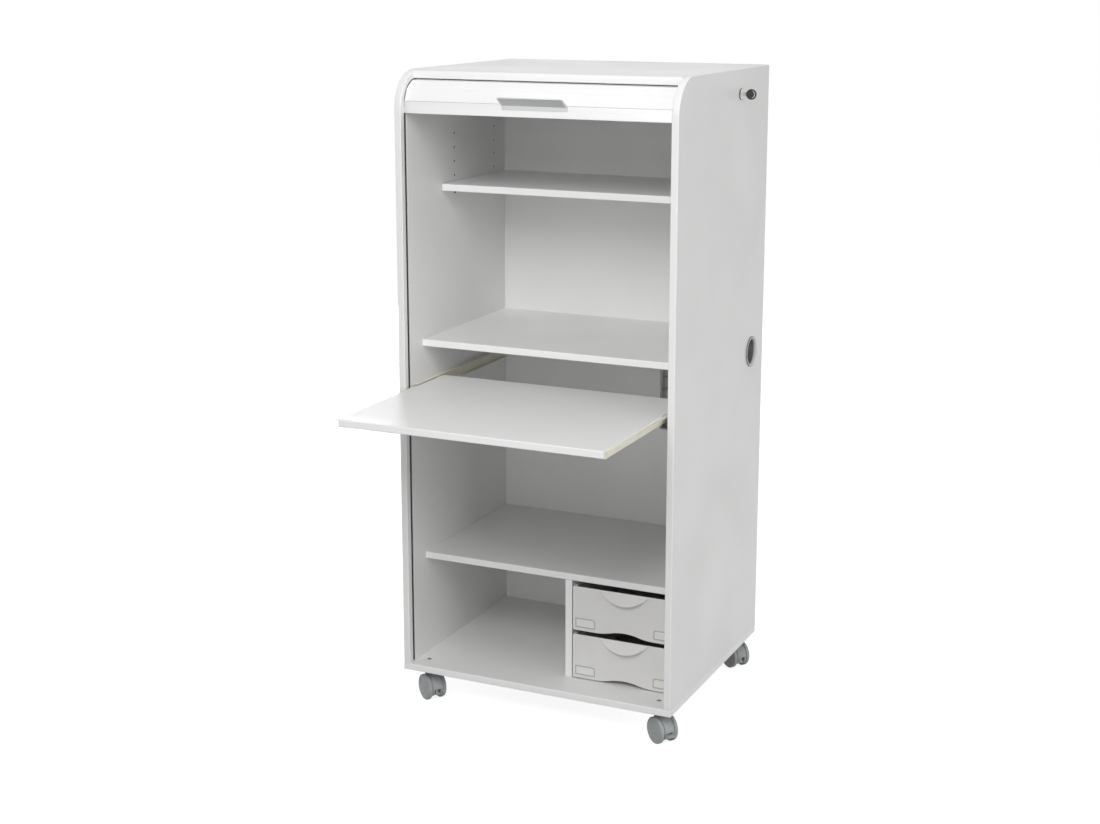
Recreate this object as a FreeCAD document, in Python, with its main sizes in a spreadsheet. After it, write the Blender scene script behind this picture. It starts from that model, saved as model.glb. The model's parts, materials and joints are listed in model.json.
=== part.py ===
import FreeCAD, Part
import Sketcher
import math
import os
from types import SimpleNamespace

# Computer armoire on casters: a melamine cabinet with a roller shutter that is stored under its top
# and behind its inner back, a pull-out desk on roller runners, two plastic drawers and shelves.
# Frame: X to the right, Y to the back, Z up. The origin is on the floor under the cabinet's centre.

# Driving lengths, in millimetres.
lengths = {
    # cabinet
    "width": 655, "depth": 570, "body_height": 1364, "caster_height": 74,
    "board": 16, "corner_radius": 84, "edge_round": 2.2,
    "inner_back_gap": 70, "shelf_setback": 83,
    "file_shelf_height": 261, "printer_shelf_height": 762, "inner_back_seam_height": 500,
    "upper_shelf_drop": 262, "upper_shelf_setback": 181, "shelf_play": 1,
    "drawer_bay_width": 253, "cable_gap_width": 212, "upper_back_drop": 42,
    # adjustable shelf pins
    "pin_diameter": 5, "pin_hole_depth": 9, "pin_pitch": 32, "pin_front": 244, "pin_rear": 125,
    "pin_stub_diameter": 9, "pin_stub_length": 8,
    # board fasteners
    "dowel_diameter": 8, "dowel_depth": 10, "dowel_inset": 58,
    "base_screw_diameter": 5, "base_screw_head": 9, "base_screw_head_depth": 4, "base_screw_length": 46,
    # shutter and its track
    "track_front": 20, "track_top": 25, "track_rear": 24, "track_radius": 48,
    "track_width": 11, "track_depth": 8, "slat_pitch": 28, "slat_gap": 0.8, "slat_thickness": 7,
    "slat_back_bevel": 3, "slat_end_play": 1.2, "slat_face_offset": 4.5, "slat_joint_gap": 0.8,
    "bar_drop": 92, "bar_height": 26, "bar_wall": 2.5, "bar_foot": 9, "bar_foot_wall": 3,
    "handle_length": 150, "handle_root": 11, "handle_reach": 26, "handle_rise": 17, "handle_wall": 2.5,
    # pull-out desk and its runners
    "desk_height": 666, "desk_setback": 36, "desk_back_gap": 5, "desk_hold": 86, "runner_gap": 13,
    "rail_wall": 1.2, "rail_setback": 38, "rail_back_gap": 10, "rail_inset": 4,
    "rail_rise": 14, "rail_lip": 9, "rail_foot": 16, "channel_height": 22, "channel_reach": 10.6,
    "front_roller_diameter": 17, "roller_width": 7, "roller_offset": 0.8, "roller_pin_diameter": 5,
    "front_roller_inset": 14, "rear_roller_inset": 13,
    "rail_screw_diameter": 3.5, "rail_screw_head": 7, "rail_screw_head_height": 1.6,
    "rail_screw_length": 12, "rail_screw_inset": 60,
    # drawers
    "drawer_floor_gap": 2, "drawer_gap": 10, "drawer_head_gap": 12, "drawer_side_gap": 2,
    "drawer_wall": 2.4, "drawer_front_wall": 3, "drawer_back_gap": 57, "drawer_corner_round": 4,
    "tray_side_gap": 9.5, "tray_lift": 12, "tray_drop": 10, "rim_width": 6, "rim_height": 3,
    "rim_front_gap": 14, "grip_width": 118, "grip_drop": 27, "grip_reach": 12, "grip_wall": 3,
    "arch_width": 136, "arch_rise": 9,
    "label_width": 48, "label_height": 22, "label_thickness": 1.6, "label_border": 2.5,
    "label_recess": 0.8, "label_side_inset": 9, "label_lift": 8, "label_round": 7,
    "drawer_rail_web": 2.5, "drawer_rail_ledge": 8, "drawer_rail_height": 14, "drawer_rail_flange": 3,
    # casters
    "caster_side": 42, "caster_front": 44, "caster_rear": 46, "caster_trail": 14,
    "wheel_diameter": 60, "wheel_inner": 8, "wheel_step": 12, "wheel_outer": 22, "wheel_crown": 1.2,
    "wheel_step_diameter": 51, "wheel_cup_diameter": 43, "wheel_cup_floor": 17, "wheel_hub_diameter": 16,
    "wheel_edge": 1.6, "axle_diameter": 8, "axle_half": 19.2,
    "hood_diameter": 58, "hood_wall": 2.7, "hood_half_width": 11.5, "hood_hem_height": 15,
    "hood_web": 7, "hood_hub_diameter": 15, "hood_hub_half": 7.6, "boss_diameter": 14, "boss_foot": 32,
    "collar_diameter": 22, "arch_half_width": 8.2, "arch_height": 30, "arch_round": 3,
    "stem_diameter": 8, "stem_recess": 6, "insert_diameter": 11,
    "insert_flange_diameter": 20, "insert_flange": 1.5,
    "brake_pivot_reach": 16, "brake_pivot_height": 24, "brake_pin_diameter": 4, "brake_half_width": 7.5,
    "brake_arm_height": 6, "brake_arm_gap": 0.4, "brake_pedal_start": 29.8, "brake_pedal_end": 41,
    "brake_pedal": 3, "brake_pedal_half_width": 11,
    # side lock
    "lock_rear": 193, "lock_drop": 55, "lock_barrel_diameter": 18, "lock_rosette_diameter": 24,
    "lock_rosette": 2.5, "lock_inside": 5, "lock_plug_diameter": 12, "lock_plug_shoulder": 3,
    "keyway_width": 2.2, "keyway_height": 8, "keyway_depth": 15, "key_head_diameter": 23,
    "key_head": 3.2, "key_head_out": 24, "key_neck": 9, "key_collar": 2,
    "key_slot_diameter": 17, "key_slot_width": 2.4,
    "cam_length": 24, "cam_width": 12, "cam_thickness": 2,
    # cable grommet
    "grommet_rear": 83, "grommet_drop": 33, "grommet_bore": 60, "grommet_flange_diameter": 70,
    "grommet_flange": 2.5, "grommet_wall": 1.8,
    # clearances
    "fit_clearance": 0.05, "slide_clearance": 0.3, "overrun": 5,
}
counts = {"pin_rows_each_way_count": 4, "slat_count": 48}
angles = {"nose_angle": 17, "caster_angle": -35}

doc = FreeCAD.newDocument("computer_armoire")
sheet = doc.addObject("Spreadsheet::Sheet", "Sizes")
for row, (alias, amount) in enumerate({**lengths, **counts, **angles}.items(), start=1):
    sheet.set(f"A{row}", alias)
    sheet.set(f"B{row}", str(amount))
    sheet.setAlias(f"B{row}", alias)
doc.recompute()


class Size:
    # A length together with the sheet expression that gives it.
    def __init__(self, amount, text):
        self.amount = float(amount)
        self.text = text

    @staticmethod
    def of(thing):
        return thing if isinstance(thing, Size) else Size(thing, repr(float(thing)))

    def __add__(self, other):
        other = Size.of(other)
        return Size(self.amount + other.amount, f"({self.text} + {other.text})")

    def __sub__(self, other):
        other = Size.of(other)
        return Size(self.amount - other.amount, f"({self.text} - {other.text})")

    def __mul__(self, factor):
        return Size(self.amount * factor, f"({self.text} * {factor!r})")

    def __truediv__(self, divisor):
        return Size(self.amount / divisor, f"({self.text} / {divisor!r})")

    def __neg__(self):
        return Size(-self.amount, f"(0 - {self.text})")


dim = SimpleNamespace(**{alias: Size(sheet.get(alias), f"Sizes.{alias}") for alias in lengths})
zero = Size(0, "0")
nodes = []


def node(thing, label):
    thing.Label = label
    nodes.append(thing)
    return thing


def bind(thing, **amounts):
    for name, amount in amounts.items():
        thing.setExpression(name, amount.text)
    return thing


def move(thing, x=zero, y=zero, z=zero):
    for axis, amount in zip("xyz", (x, y, z)):
        thing.setExpression(f"Placement.Base.{axis}", amount.text)
    return thing


# Part primitives and booleans.

def box(x, y, z):
    # Each argument is a pair of Sizes, from and to.
    thing = doc.addObject("Part::Box", "Box")
    bind(thing, Length=x[1] - x[0], Width=y[1] - y[0], Height=z[1] - z[0])
    return move(thing, x[0], y[0], z[0])


turns = {"x": FreeCAD.Rotation(FreeCAD.Vector(0, 1, 0), 90),
         "y": FreeCAD.Rotation(FreeCAD.Vector(1, 0, 0), -90),
         "z": FreeCAD.Rotation()}


def rod(axis, diameter, span, **centre):
    # A cylinder along one axis; centre gives its place on the other two axes.
    thing = doc.addObject("Part::Cylinder", "Rod")
    bind(thing, Radius=diameter / 2, Height=span[1] - span[0])
    thing.Placement.Rotation = turns[axis]
    return move(thing, **{axis: span[0], **centre})


def joined(*things):
    thing = doc.addObject("Part::MultiFuse", "Joined")
    thing.Shapes = list(things)
    return thing


def grouped(*things):
    thing = doc.addObject("Part::Compound", "Group")
    thing.Links = list(things)
    return thing


def cut(base, *tools):
    thing = doc.addObject("Part::Cut", "Cut")
    thing.Base = base
    thing.Tool = tools[0] if len(tools) == 1 else joined(*tools)
    return thing


def common(first, second):
    thing = doc.addObject("Part::Common", "Common")
    thing.Base = first
    thing.Tool = second
    return thing


# PartDesign bodies from sketched outlines.

planes = {"xy": "XY_Plane", "xz": "XZ_Plane", "yz": "YZ_Plane"}


def sketch_on(body, plane, offset):
    sketch = body.newObject("Sketcher::SketchObject", "Sketch")
    support = next(f for f in body.Origin.OriginFeatures if f.Role == planes[plane])
    sketch.AttachmentSupport = [(support, "")]
    sketch.MapMode = "FlatFace"
    sketch.setExpression("AttachmentOffset.Base.z", offset.text)
    sketch.AttachmentOffset.Base = FreeCAD.Vector(0, 0, offset.amount)
    return sketch


def fix(sketch, constraint, amount):
    index = sketch.addConstraint(constraint)
    sketch.setExpression(f"Constraints[{index}]", amount.text)


def fix_point(sketch, edge, end, x, y):
    fix(sketch, Sketcher.Constraint("DistanceX", -1, 1, edge, end, x.amount), x)
    fix(sketch, Sketcher.Constraint("DistanceY", -1, 1, edge, end, y.amount), y)


def arc_between(start, end, radius):
    # The shorter arc from start to end, anticlockwise where radius is positive.
    chord = end - start
    side = FreeCAD.Vector(-chord.y, chord.x, 0) / chord.Length
    rise = math.sqrt(max(radius ** 2 - chord.Length ** 2 / 4, 0))
    centre = (start + end) / 2 + side * math.copysign(rise, radius)
    first, last = (start, end) if radius > 0 else (end, start)
    from_angle = math.atan2(first.y - centre.y, first.x - centre.x)
    to_angle = math.atan2(last.y - centre.y, last.x - centre.x)
    circle = Part.Circle(centre, FreeCAD.Vector(0, 0, 1), abs(radius))
    return Part.ArcOfCircle(circle, from_angle, to_angle)


def draw(sketch, outline):
    # Each point is (x, y), or (x, y, radius) where an arc leads to it: radius > 0 turns left.
    vectors = [FreeCAD.Vector(point[0].amount, point[1].amount, 0) for point in outline]
    ends = []
    for index, point in enumerate(outline):
        start, end = vectors[index - 1], vectors[index]
        if len(point) == 2:
            edge = sketch.addGeometry(Part.LineSegment(start, end))
            ends.append((1, 2))
        else:
            edge = sketch.addGeometry(arc_between(start, end, point[2].amount))
            ends.append((1, 2) if point[2].amount > 0 else (2, 1))
    for index, point in enumerate(outline):
        after = (index + 1) % len(outline)
        sketch.addConstraint(Sketcher.Constraint("Coincident", index, ends[index][1], after, ends[after][0]))
        fix_point(sketch, index, ends[index][1], point[0], point[1])
        if len(point) == 3:
            radius = point[2] if point[2].amount > 0 else -point[2]
            fix(sketch, Sketcher.Constraint("Radius", index, radius.amount), radius)


def extrude(body, kind, sketch, plane, span):
    # The sketch lies at the low end of the span; the XZ plane's normal points to the front.
    feature = body.newObject(kind, "Feature")
    feature.Profile = sketch
    feature.Reversed = (kind == "PartDesign::Pocket") != (plane == "xz")
    bind(feature, Length=span[1] - span[0])
    return feature


def sketch_offset(plane, span):
    return -span[0] if plane == "xz" else span[0]


def prism(plane, outline, span):
    body = doc.addObject("PartDesign::Body", "Body")
    sketch = sketch_on(body, plane, sketch_offset(plane, span))
    draw(sketch, outline)
    extrude(body, "PartDesign::Pad", sketch, plane, span)
    doc.recompute()
    return body


def carve(body, plane, outline, span):
    before = body.Shape.Volume
    sketch = sketch_on(body, plane, sketch_offset(plane, span))
    draw(sketch, outline)
    extrude(body, "PartDesign::Pocket", sketch, plane, span)
    doc.recompute()
    if body.Shape.Volume >= before:
        raise RuntimeError("a pocket cut nothing")


def turned(outline):
    # A body of revolution about Z; the outline is (radius, height) points.
    body = doc.addObject("PartDesign::Body", "Body")
    sketch = sketch_on(body, "xz", zero)
    draw(sketch, outline)
    feature = body.newObject("PartDesign::Revolution", "Feature")
    feature.Profile = sketch
    feature.ReferenceAxis = (sketch, ["V_Axis"])
    feature.Angle = 360
    doc.recompute()
    return body


def soften(body, chosen, radius):
    # Rounds the edges of the body's last feature that the chosen test picks.
    base = body.Tip
    names = [f"Edge{i}" for i, edge in enumerate(base.Shape.Edges, start=1) if chosen(edge)]
    feature = body.newObject("PartDesign::Fillet", "Fillet")
    feature.Base = (base, names)
    bind(feature, Radius=radius)
    doc.recompute()


def rectangle(u, v):
    return [(u[0], v[0]), (u[1], v[0]), (u[1], v[1]), (u[0], v[1])]


# Main planes of the cabinet.
left, right = -dim.width / 2, dim.width / 2
front, rear = -dim.depth / 2, dim.depth / 2
base, top = dim.caster_height, dim.caster_height + dim.body_height
inner_left, inner_right = left + dim.board, right - dim.board
floor_top, top_underside = base + dim.board, top - dim.board
inner_back = rear - dim.inner_back_gap
inner_back_rear = inner_back + dim.board
back_panel_front = rear - dim.board
shelf_front = front + dim.shelf_setback
file_shelf = (base + dim.file_shelf_height - dim.board, base + dim.file_shelf_height)
printer_shelf = (base + dim.printer_shelf_height - dim.board, base + dim.printer_shelf_height)
upper_shelf = (top - dim.upper_shelf_drop - dim.board, top - dim.upper_shelf_drop)
inner_back_seam = base + dim.inner_back_seam_height
divider = (inner_right - dim.drawer_bay_width - dim.board, inner_right - dim.drawer_bay_width)
across = (inner_left, inner_right)

# Track of the shutter: up the front, under the top and down the back.
track_front = front + dim.track_front
track_rear = rear - dim.track_rear
track_level = top - dim.track_top
track_turn_height = track_level - dim.track_radius
front_turn, rear_turn = track_front + dim.track_radius, track_rear - dim.track_radius
bar_bottom = top - dim.bar_drop
bar_top = bar_bottom + dim.bar_height


def slat_path(distance):
    # Place on the slats' outer face, as (y, z, turn), that far past the front bend's start.
    radius = dim.track_radius.amount + dim.slat_face_offset.amount
    bend = radius * math.pi / 2
    level = rear_turn.amount - front_turn.amount
    if distance < bend:
        turn = distance / radius
        return (front_turn.amount - radius * math.cos(turn),
                track_turn_height.amount + radius * math.sin(turn), turn)
    if distance < bend + level:
        return (front_turn.amount + distance - bend, track_turn_height.amount + radius, math.pi / 2)
    if distance < 2 * bend + level:
        turn = (distance - bend - level) / radius + math.pi / 2
        return (rear_turn.amount - radius * math.cos(turn),
                track_turn_height.amount + radius * math.sin(turn), turn)
    return (rear_turn.amount + radius,
            track_turn_height.amount - (distance - 2 * bend - level), math.pi)


slats_start = bar_top + dim.slat_joint_gap - track_turn_height
slats_length = dim.slat_pitch * counts["slat_count"]
bends_length = (dim.track_radius + dim.slat_face_offset) * math.pi + (rear_turn - front_turn)
track_end = track_turn_height - (slats_start + slats_length - bends_length) - dim.board


# Boards.

def shelf_outline(depth_span, height_span):
    # Section of a board whose front edge is rounded.
    y0, y1 = depth_span
    z0, z1 = height_span
    nose = dim.edge_round
    return [(y1, z0), (y1, z1), (y0 + nose, z1), (y0, z1 - nose, nose),
            (y0, z0 + nose), (y0 + nose, z0, nose)]


def dowel_rod(axis, span, grow, **centre):
    return rod(axis, dim.dowel_diameter + grow * 2, (span[0] - grow, span[1] + grow), **centre)


def end_dowels(y_places, height, grow=zero):
    # Dowels between a board's two ends and the side panels.
    rods = []
    for y in y_places:
        for face in (inner_left, inner_right):
            span = (face - dim.dowel_depth, face + dim.dowel_depth)
            rods.append(dowel_rod("x", span, grow, y=y, z=height))
    return rods


def divider_dowels(grow=zero):
    middle = (divider[0] + divider[1]) / 2
    rods = []
    for y in shelf_dowel_places:
        for face in (floor_top, file_shelf[0]):
            span = (face - dim.dowel_depth, face + dim.dowel_depth)
            rods.append(dowel_rod("z", span, grow, x=middle, y=y))
    return rods


def base_screw_places():
    places = []
    for x in (left + dim.board / 2, right - dim.board / 2):
        for y in (front + dim.caster_front * 2, zero, rear - dim.caster_rear * 2):
            places.append((x, y))
    return places


def base_screws(grow=zero):
    # Screws that hold the bottom panel to the side panels, heads flush below.
    screws = []
    for x, y in base_screw_places():
        head_top = base + dim.base_screw_head_depth + grow
        shank_top = base + dim.base_screw_length + grow
        head = rod("z", dim.base_screw_head + grow * 2, (base, head_top), x=x, y=y)
        shank = rod("z", dim.base_screw_diameter + grow * 2, (base, shank_top), x=x, y=y)
        screws.append(joined(head, shank))
    return screws


shelf_dowel_places = (shelf_front + dim.dowel_inset, inner_back - dim.dowel_inset)
top_dowel_places = (front + dim.corner_radius + dim.dowel_inset, rear - dim.dowel_inset * 2)
back_dowel_y = back_panel_front + dim.board / 2
shelf_middle = {"file": (file_shelf[0] + file_shelf[1]) / 2,
                "printer": (printer_shelf[0] + printer_shelf[1]) / 2,
                "top": top - dim.board / 2, "back_low": floor_top + dim.dowel_inset,
                "back_high": track_end - dim.dowel_inset}


def all_end_dowels(grow=zero):
    return (end_dowels(shelf_dowel_places, shelf_middle["file"], grow)
            + end_dowels(shelf_dowel_places, shelf_middle["printer"], grow)
            + end_dowels(top_dowel_places, shelf_middle["top"], grow)
            + end_dowels((back_dowel_y,), shelf_middle["back_low"], grow)
            + end_dowels((back_dowel_y,), shelf_middle["back_high"], grow))


node(grouped(*all_end_dowels(), *divider_dowels()), "board_dowels")
node(grouped(*base_screws()), "base_screws")

# Bottom panel with the seats of the four caster inserts.
caster_places = {"front_left": (left + dim.caster_side, front + dim.caster_front),
                 "front_right": (right - dim.caster_side, front + dim.caster_front),
                 "rear_left": (left + dim.caster_side, rear - dim.caster_rear),
                 "rear_right": (right - dim.caster_side, rear - dim.caster_rear)}
through_floor = (base - dim.overrun, floor_top + dim.overrun)
insert_seats = [rod("z", dim.insert_diameter + dim.fit_clearance * 2, through_floor, x=x, y=y)
                for x, y in caster_places.values()]
bottom_blank = prism("yz", shelf_outline((front, rear), (base, floor_top)), (left, right))
bottom_holes = insert_seats + base_screws(dim.fit_clearance) + divider_dowels(dim.fit_clearance)
node(cut(bottom_blank, grouped(*bottom_holes)), "bottom_panel")


def track_outline():
    half = dim.track_width / 2
    wide, tight = dim.track_radius + half, dim.track_radius - half
    start = floor_top - dim.overrun
    return [(track_rear + half, track_end), (track_rear + half, track_turn_height),
            (rear_turn, track_level + half, wide), (front_turn, track_level + half),
            (track_front - half, track_turn_height, wide), (track_front - half, start),
            (track_front + half, start), (track_front + half, track_turn_height),
            (front_turn, track_level - half, -tight), (rear_turn, track_level - half),
            (track_rear - half, track_turn_height, -tight), (track_rear - half, track_end)]


def pin_places():
    # Shelf pin holes: two columns, one row at the shelf and the same number above and below.
    each_way = counts["pin_rows_each_way_count"]
    level = upper_shelf[0] - dim.pin_diameter / 2
    columns = (front + dim.pin_front, rear - dim.pin_rear)
    return [(y, level + dim.pin_pitch * row) for y in columns for row in range(-each_way, each_way + 1)]


lock_y, lock_z = rear - dim.lock_rear, top - dim.lock_drop
grommet_y, grommet_z = rear - dim.grommet_rear, printer_shelf[0] - dim.grommet_drop


def rail_screw_places():
    rail_rear = inner_back - dim.rail_back_gap
    return (front + dim.rail_setback + dim.rail_screw_inset, rail_rear - dim.rail_screw_inset)


channel_bottom = base + dim.desk_height - dim.board - dim.channel_height / 4
channel_middle = channel_bottom + dim.channel_height / 2


def side_panel(side):
    # The visible front, bend and top edges are softened before the track is cut.
    face = inner_left if side < 0 else inner_right
    span = (left, inner_left) if side < 0 else (inner_right, right)
    bend = dim.corner_radius
    outline = [(rear, floor_top), (rear, top), (front + bend, top),
               (front, top - bend, bend), (front, floor_top)]
    body = prism("yz", outline, span)

    def visible(edge):
        box_of_edge = edge.BoundBox
        upright = abs(box_of_edge.XLength) > dim.overrun.amount
        at_foot = box_of_edge.ZMax < (floor_top + dim.overrun).amount
        at_rear = box_of_edge.YMin > (rear - dim.overrun).amount
        return not (upright or at_foot or at_rear)

    soften(body, visible, dim.edge_round)
    play = dim.fit_clearance * 2

    def sunk(depth):
        return (face - depth, face + dim.overrun) if side < 0 else (face - dim.overrun, face + depth)

    carve(body, "yz", track_outline(), sunk(dim.track_depth))
    holes = [rod("x", dim.pin_diameter + play, sunk(dim.pin_hole_depth), y=y, z=z) for y, z in pin_places()]
    holes += [rod("x", dim.rail_screw_diameter + play, sunk(dim.rail_screw_length), y=y, z=channel_middle)
              for y in rail_screw_places()]
    if side > 0:
        through = (face - dim.overrun, right + dim.overrun)
        holes.append(rod("x", dim.lock_barrel_diameter + play, through, y=lock_y, z=lock_z))
        sleeve = dim.grommet_bore + dim.grommet_wall * 2
        holes.append(rod("x", sleeve + play, through, y=grommet_y, z=grommet_z))
    return cut(body, grouped(*holes, *all_end_dowels(dim.fit_clearance), *base_screws(dim.fit_clearance)))


node(side_panel(-1), "left_side_panel")
node(side_panel(1), "right_side_panel")


def top_outline():
    # The nose follows the side panels' bend, then drops square to the slats.
    bend = dim.corner_radius
    turn = math.radians(angles["nose_angle"])
    nose_y, nose_z = front + bend - bend * math.sin(turn), top - bend + bend * math.cos(turn)
    lip = dim.edge_round
    return [(rear, top_underside), (rear, top), (front + bend, top), (nose_y, nose_z, bend),
            (nose_y, top_underside + lip), (nose_y + lip, top_underside, lip)]


top_dowels = end_dowels(top_dowel_places, shelf_middle["top"], dim.fit_clearance)
node(cut(prism("yz", top_outline(), across), grouped(*top_dowels)), "top_panel")

back_blank = prism("xz", rectangle(across, (floor_top, top_underside)), (back_panel_front, rear))
back_dowels = (end_dowels((back_dowel_y,), shelf_middle["back_low"], dim.fit_clearance)
               + end_dowels((back_dowel_y,), shelf_middle["back_high"], dim.fit_clearance))
node(cut(back_blank, grouped(*back_dowels)), "back_panel")

inner_back_depth = (inner_back, inner_back_rear)
upper_back_span = (printer_shelf[1], top_underside - dim.upper_back_drop)
node(prism("xz", rectangle(across, upper_back_span), inner_back_depth), "upper_inner_back")
desk_back_sides = (inner_left, inner_right - dim.cable_gap_width)
node(prism("xz", rectangle(desk_back_sides, (inner_back_seam, printer_shelf[1])), inner_back_depth),
     "desk_inner_back")
node(prism("xz", rectangle(across, (floor_top, inner_back_seam)), inner_back_depth), "lower_inner_back")


def fixed_shelf(height, extra):
    blank = prism("yz", shelf_outline((shelf_front, inner_back), height), across)
    middle = (height[0] + height[1]) / 2
    return cut(blank, grouped(*end_dowels(shelf_dowel_places, middle, dim.fit_clearance), *extra))


node(fixed_shelf(printer_shelf, []), "printer_shelf")
node(fixed_shelf(file_shelf, divider_dowels(dim.fit_clearance)), "file_shelf")
node(cut(prism("yz", shelf_outline((shelf_front, inner_back), (floor_top, file_shelf[0])), divider),
         grouped(*divider_dowels(dim.fit_clearance))), "lower_divider")
upper_shelf_depth = (front + dim.upper_shelf_setback, inner_back - dim.shelf_play)
node(prism("yz", shelf_outline(upper_shelf_depth, upper_shelf),
           (inner_left + dim.shelf_play, inner_right - dim.shelf_play)), "upper_shelf")


def shelf_pin(side, y):
    # Peg in the side panel and a thicker stub, flat on top, under the shelf.
    face = inner_left if side < 0 else inner_right
    level = upper_shelf[0] - dim.pin_diameter / 2
    peg = (face - dim.pin_hole_depth + dim.slide_clearance, face + dim.pin_stub_length)
    stub = (face, face + dim.pin_stub_length)
    if side > 0:
        peg = (face - dim.pin_stub_length, face + dim.pin_hole_depth - dim.slide_clearance)
        stub = (face - dim.pin_stub_length, face)
    round_stub = rod("x", dim.pin_stub_diameter, stub, y=y, z=level)
    flat = box(stub, (y - dim.pin_stub_diameter, y + dim.pin_stub_diameter),
               (upper_shelf[0], upper_shelf[0] + dim.pin_stub_diameter))
    return joined(rod("x", dim.pin_diameter, peg, y=y, z=level), cut(round_stub, flat))


pin_columns = (front + dim.pin_front, rear - dim.pin_rear)
node(grouped(*[shelf_pin(side, y) for side in (-1, 1) for y in pin_columns]), "shelf_pins")


# Roller shutter.

def slat_blank():
    # Section of one slat about the middle of its outer face: x runs along the track, y inwards.
    half = (dim.slat_pitch - dim.slat_gap) / 2
    thick = dim.slat_thickness
    bevel = dim.slat_back_bevel
    nick = dim.slat_gap
    return [(-half + nick, zero), (half - nick, zero), (half, nick), (half, thick / 2),
            (half - bevel, thick), (-half + bevel, thick), (-half, thick / 2), (-half, nick)]


slat_reach = dim.track_depth - dim.slat_end_play
slat = prism("xy", slat_blank(), (inner_left - slat_reach, inner_right + slat_reach))
slats = []
for number in range(counts["slat_count"]):
    low = slat_path(slats_start.amount + dim.slat_pitch.amount * number)
    high = slat_path(slats_start.amount + dim.slat_pitch.amount * (number + 1))
    along = FreeCAD.Vector(0, high[0] - low[0], high[1] - low[1]).normalize()
    inwards = FreeCAD.Vector(0, along.z, -along.y)
    across_axis = FreeCAD.Vector(1, 0, 0)
    middle = FreeCAD.Vector(0, (low[0] + high[0]) / 2, (low[1] + high[1]) / 2)
    turn = FreeCAD.Rotation(along, inwards, across_axis, "XYZ")
    copy = slat.Shape.copy()
    copy.Placement = FreeCAD.Placement(middle, turn)
    slats.append(copy)
curtain = doc.addObject("Part::Feature", "Curtain")
curtain.Shape = Part.makeCompound(slats)
node(curtain, "shutter_slats")

bar_face = track_front - dim.slat_face_offset
bar_round = dim.bar_foot_wall / 2
bar_back = bar_face + dim.bar_wall
bar_heel = bar_face + dim.bar_foot
bar_sill = bar_bottom + dim.bar_foot_wall
bar_outline = [(bar_heel, bar_bottom), (bar_heel, bar_sill), (bar_back, bar_sill), (bar_back, bar_top),
               (bar_face, bar_top), (bar_face, bar_bottom + bar_round),
               (bar_face + bar_round, bar_bottom, bar_round)]
node(prism("yz", bar_outline, (inner_left - slat_reach, inner_right + slat_reach)), "shutter_bar")

# The pull handle: a root on the bar and a blade that leans outwards and up.
lean = math.hypot(dim.handle_reach.amount, dim.handle_rise.amount)
blade_up = dim.handle_wall * (dim.handle_reach.amount / lean)
blade_out = dim.handle_wall * (dim.handle_rise.amount / lean)
root_front = bar_face - dim.handle_wall
handle_outline = [(bar_face, bar_top - dim.handle_root), (bar_face, bar_top),
                  (bar_face - dim.handle_reach, bar_top + dim.handle_rise),
                  (bar_face - dim.handle_reach - blade_out, bar_top + dim.handle_rise - blade_up),
                  (root_front, bar_top - dim.handle_wall), (root_front, bar_top - dim.handle_root)]
node(prism("yz", handle_outline, (-dim.handle_length / 2, dim.handle_length / 2)), "shutter_handle")

# Pull-out desk, drawn out until its rear rollers are only the hold's length behind the front ones.
desk = (base + dim.desk_height - dim.board, base + dim.desk_height)
cabinet_rail_span = (front + dim.rail_setback, inner_back - dim.rail_back_gap)
front_roller_y = cabinet_rail_span[0] + dim.front_roller_inset
rear_roller_y = front_roller_y + dim.desk_hold
desk_rear = rear_roller_y + dim.rear_roller_inset + dim.rail_inset
desk_travel = inner_back - dim.desk_back_gap - desk_rear
desk_front = front + dim.desk_setback - desk_travel
desk_sides = (inner_left + dim.runner_gap, inner_right - dim.runner_gap)
desk_rail_span = (desk_front + dim.rail_inset, desk_rear - dim.rail_inset)
desk_screw_places = (desk_rail_span[0] + dim.rail_screw_inset, desk_rail_span[1] - dim.rail_screw_inset)


def mirrored(side, outline):
    # The outline for the right side, or its mirror image in X, turned the same way round.
    if side > 0:
        return outline
    return [(-point[0], point[1]) for point in reversed(outline)]


def desk_screws(grow=zero):
    screws = []
    for side in (-1, 1):
        edge = desk_sides[0] if side < 0 else desk_sides[1]
        x = edge - dim.rail_foot / 2 * side
        for y in desk_screw_places:
            under = desk[0] - dim.rail_wall
            head = rod("z", dim.rail_screw_head, (under - dim.rail_screw_head_height, under), x=x, y=y)
            shank_span = (under, under + dim.rail_screw_length + grow)
            shank = rod("z", dim.rail_screw_diameter + grow * 2, shank_span, x=x, y=y)
            screws.append(shank if grow.amount else joined(head, shank))
    return screws


node(cut(prism("yz", shelf_outline((desk_front, desk_rear), desk), desk_sides),
         grouped(*desk_screws(dim.fit_clearance))), "desk_top")
node(grouped(*desk_screws()), "desk_rail_screws")

rail_top = desk[0] + dim.rail_rise
rear_roller_diameter = dim.channel_height - dim.slide_clearance * 2
front_roller_z = rail_top - dim.rail_wall - dim.slide_clearance - dim.front_roller_diameter / 2
desk_edge = desk_sides[1]
plate_face = desk_edge + dim.rail_wall
web_face = inner_right - dim.rail_wall
roller_span = (plate_face + dim.roller_offset, plate_face + dim.roller_offset + dim.roller_width)


def flipped(side, span):
    return span if side > 0 else (-span[1], -span[0])


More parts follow.
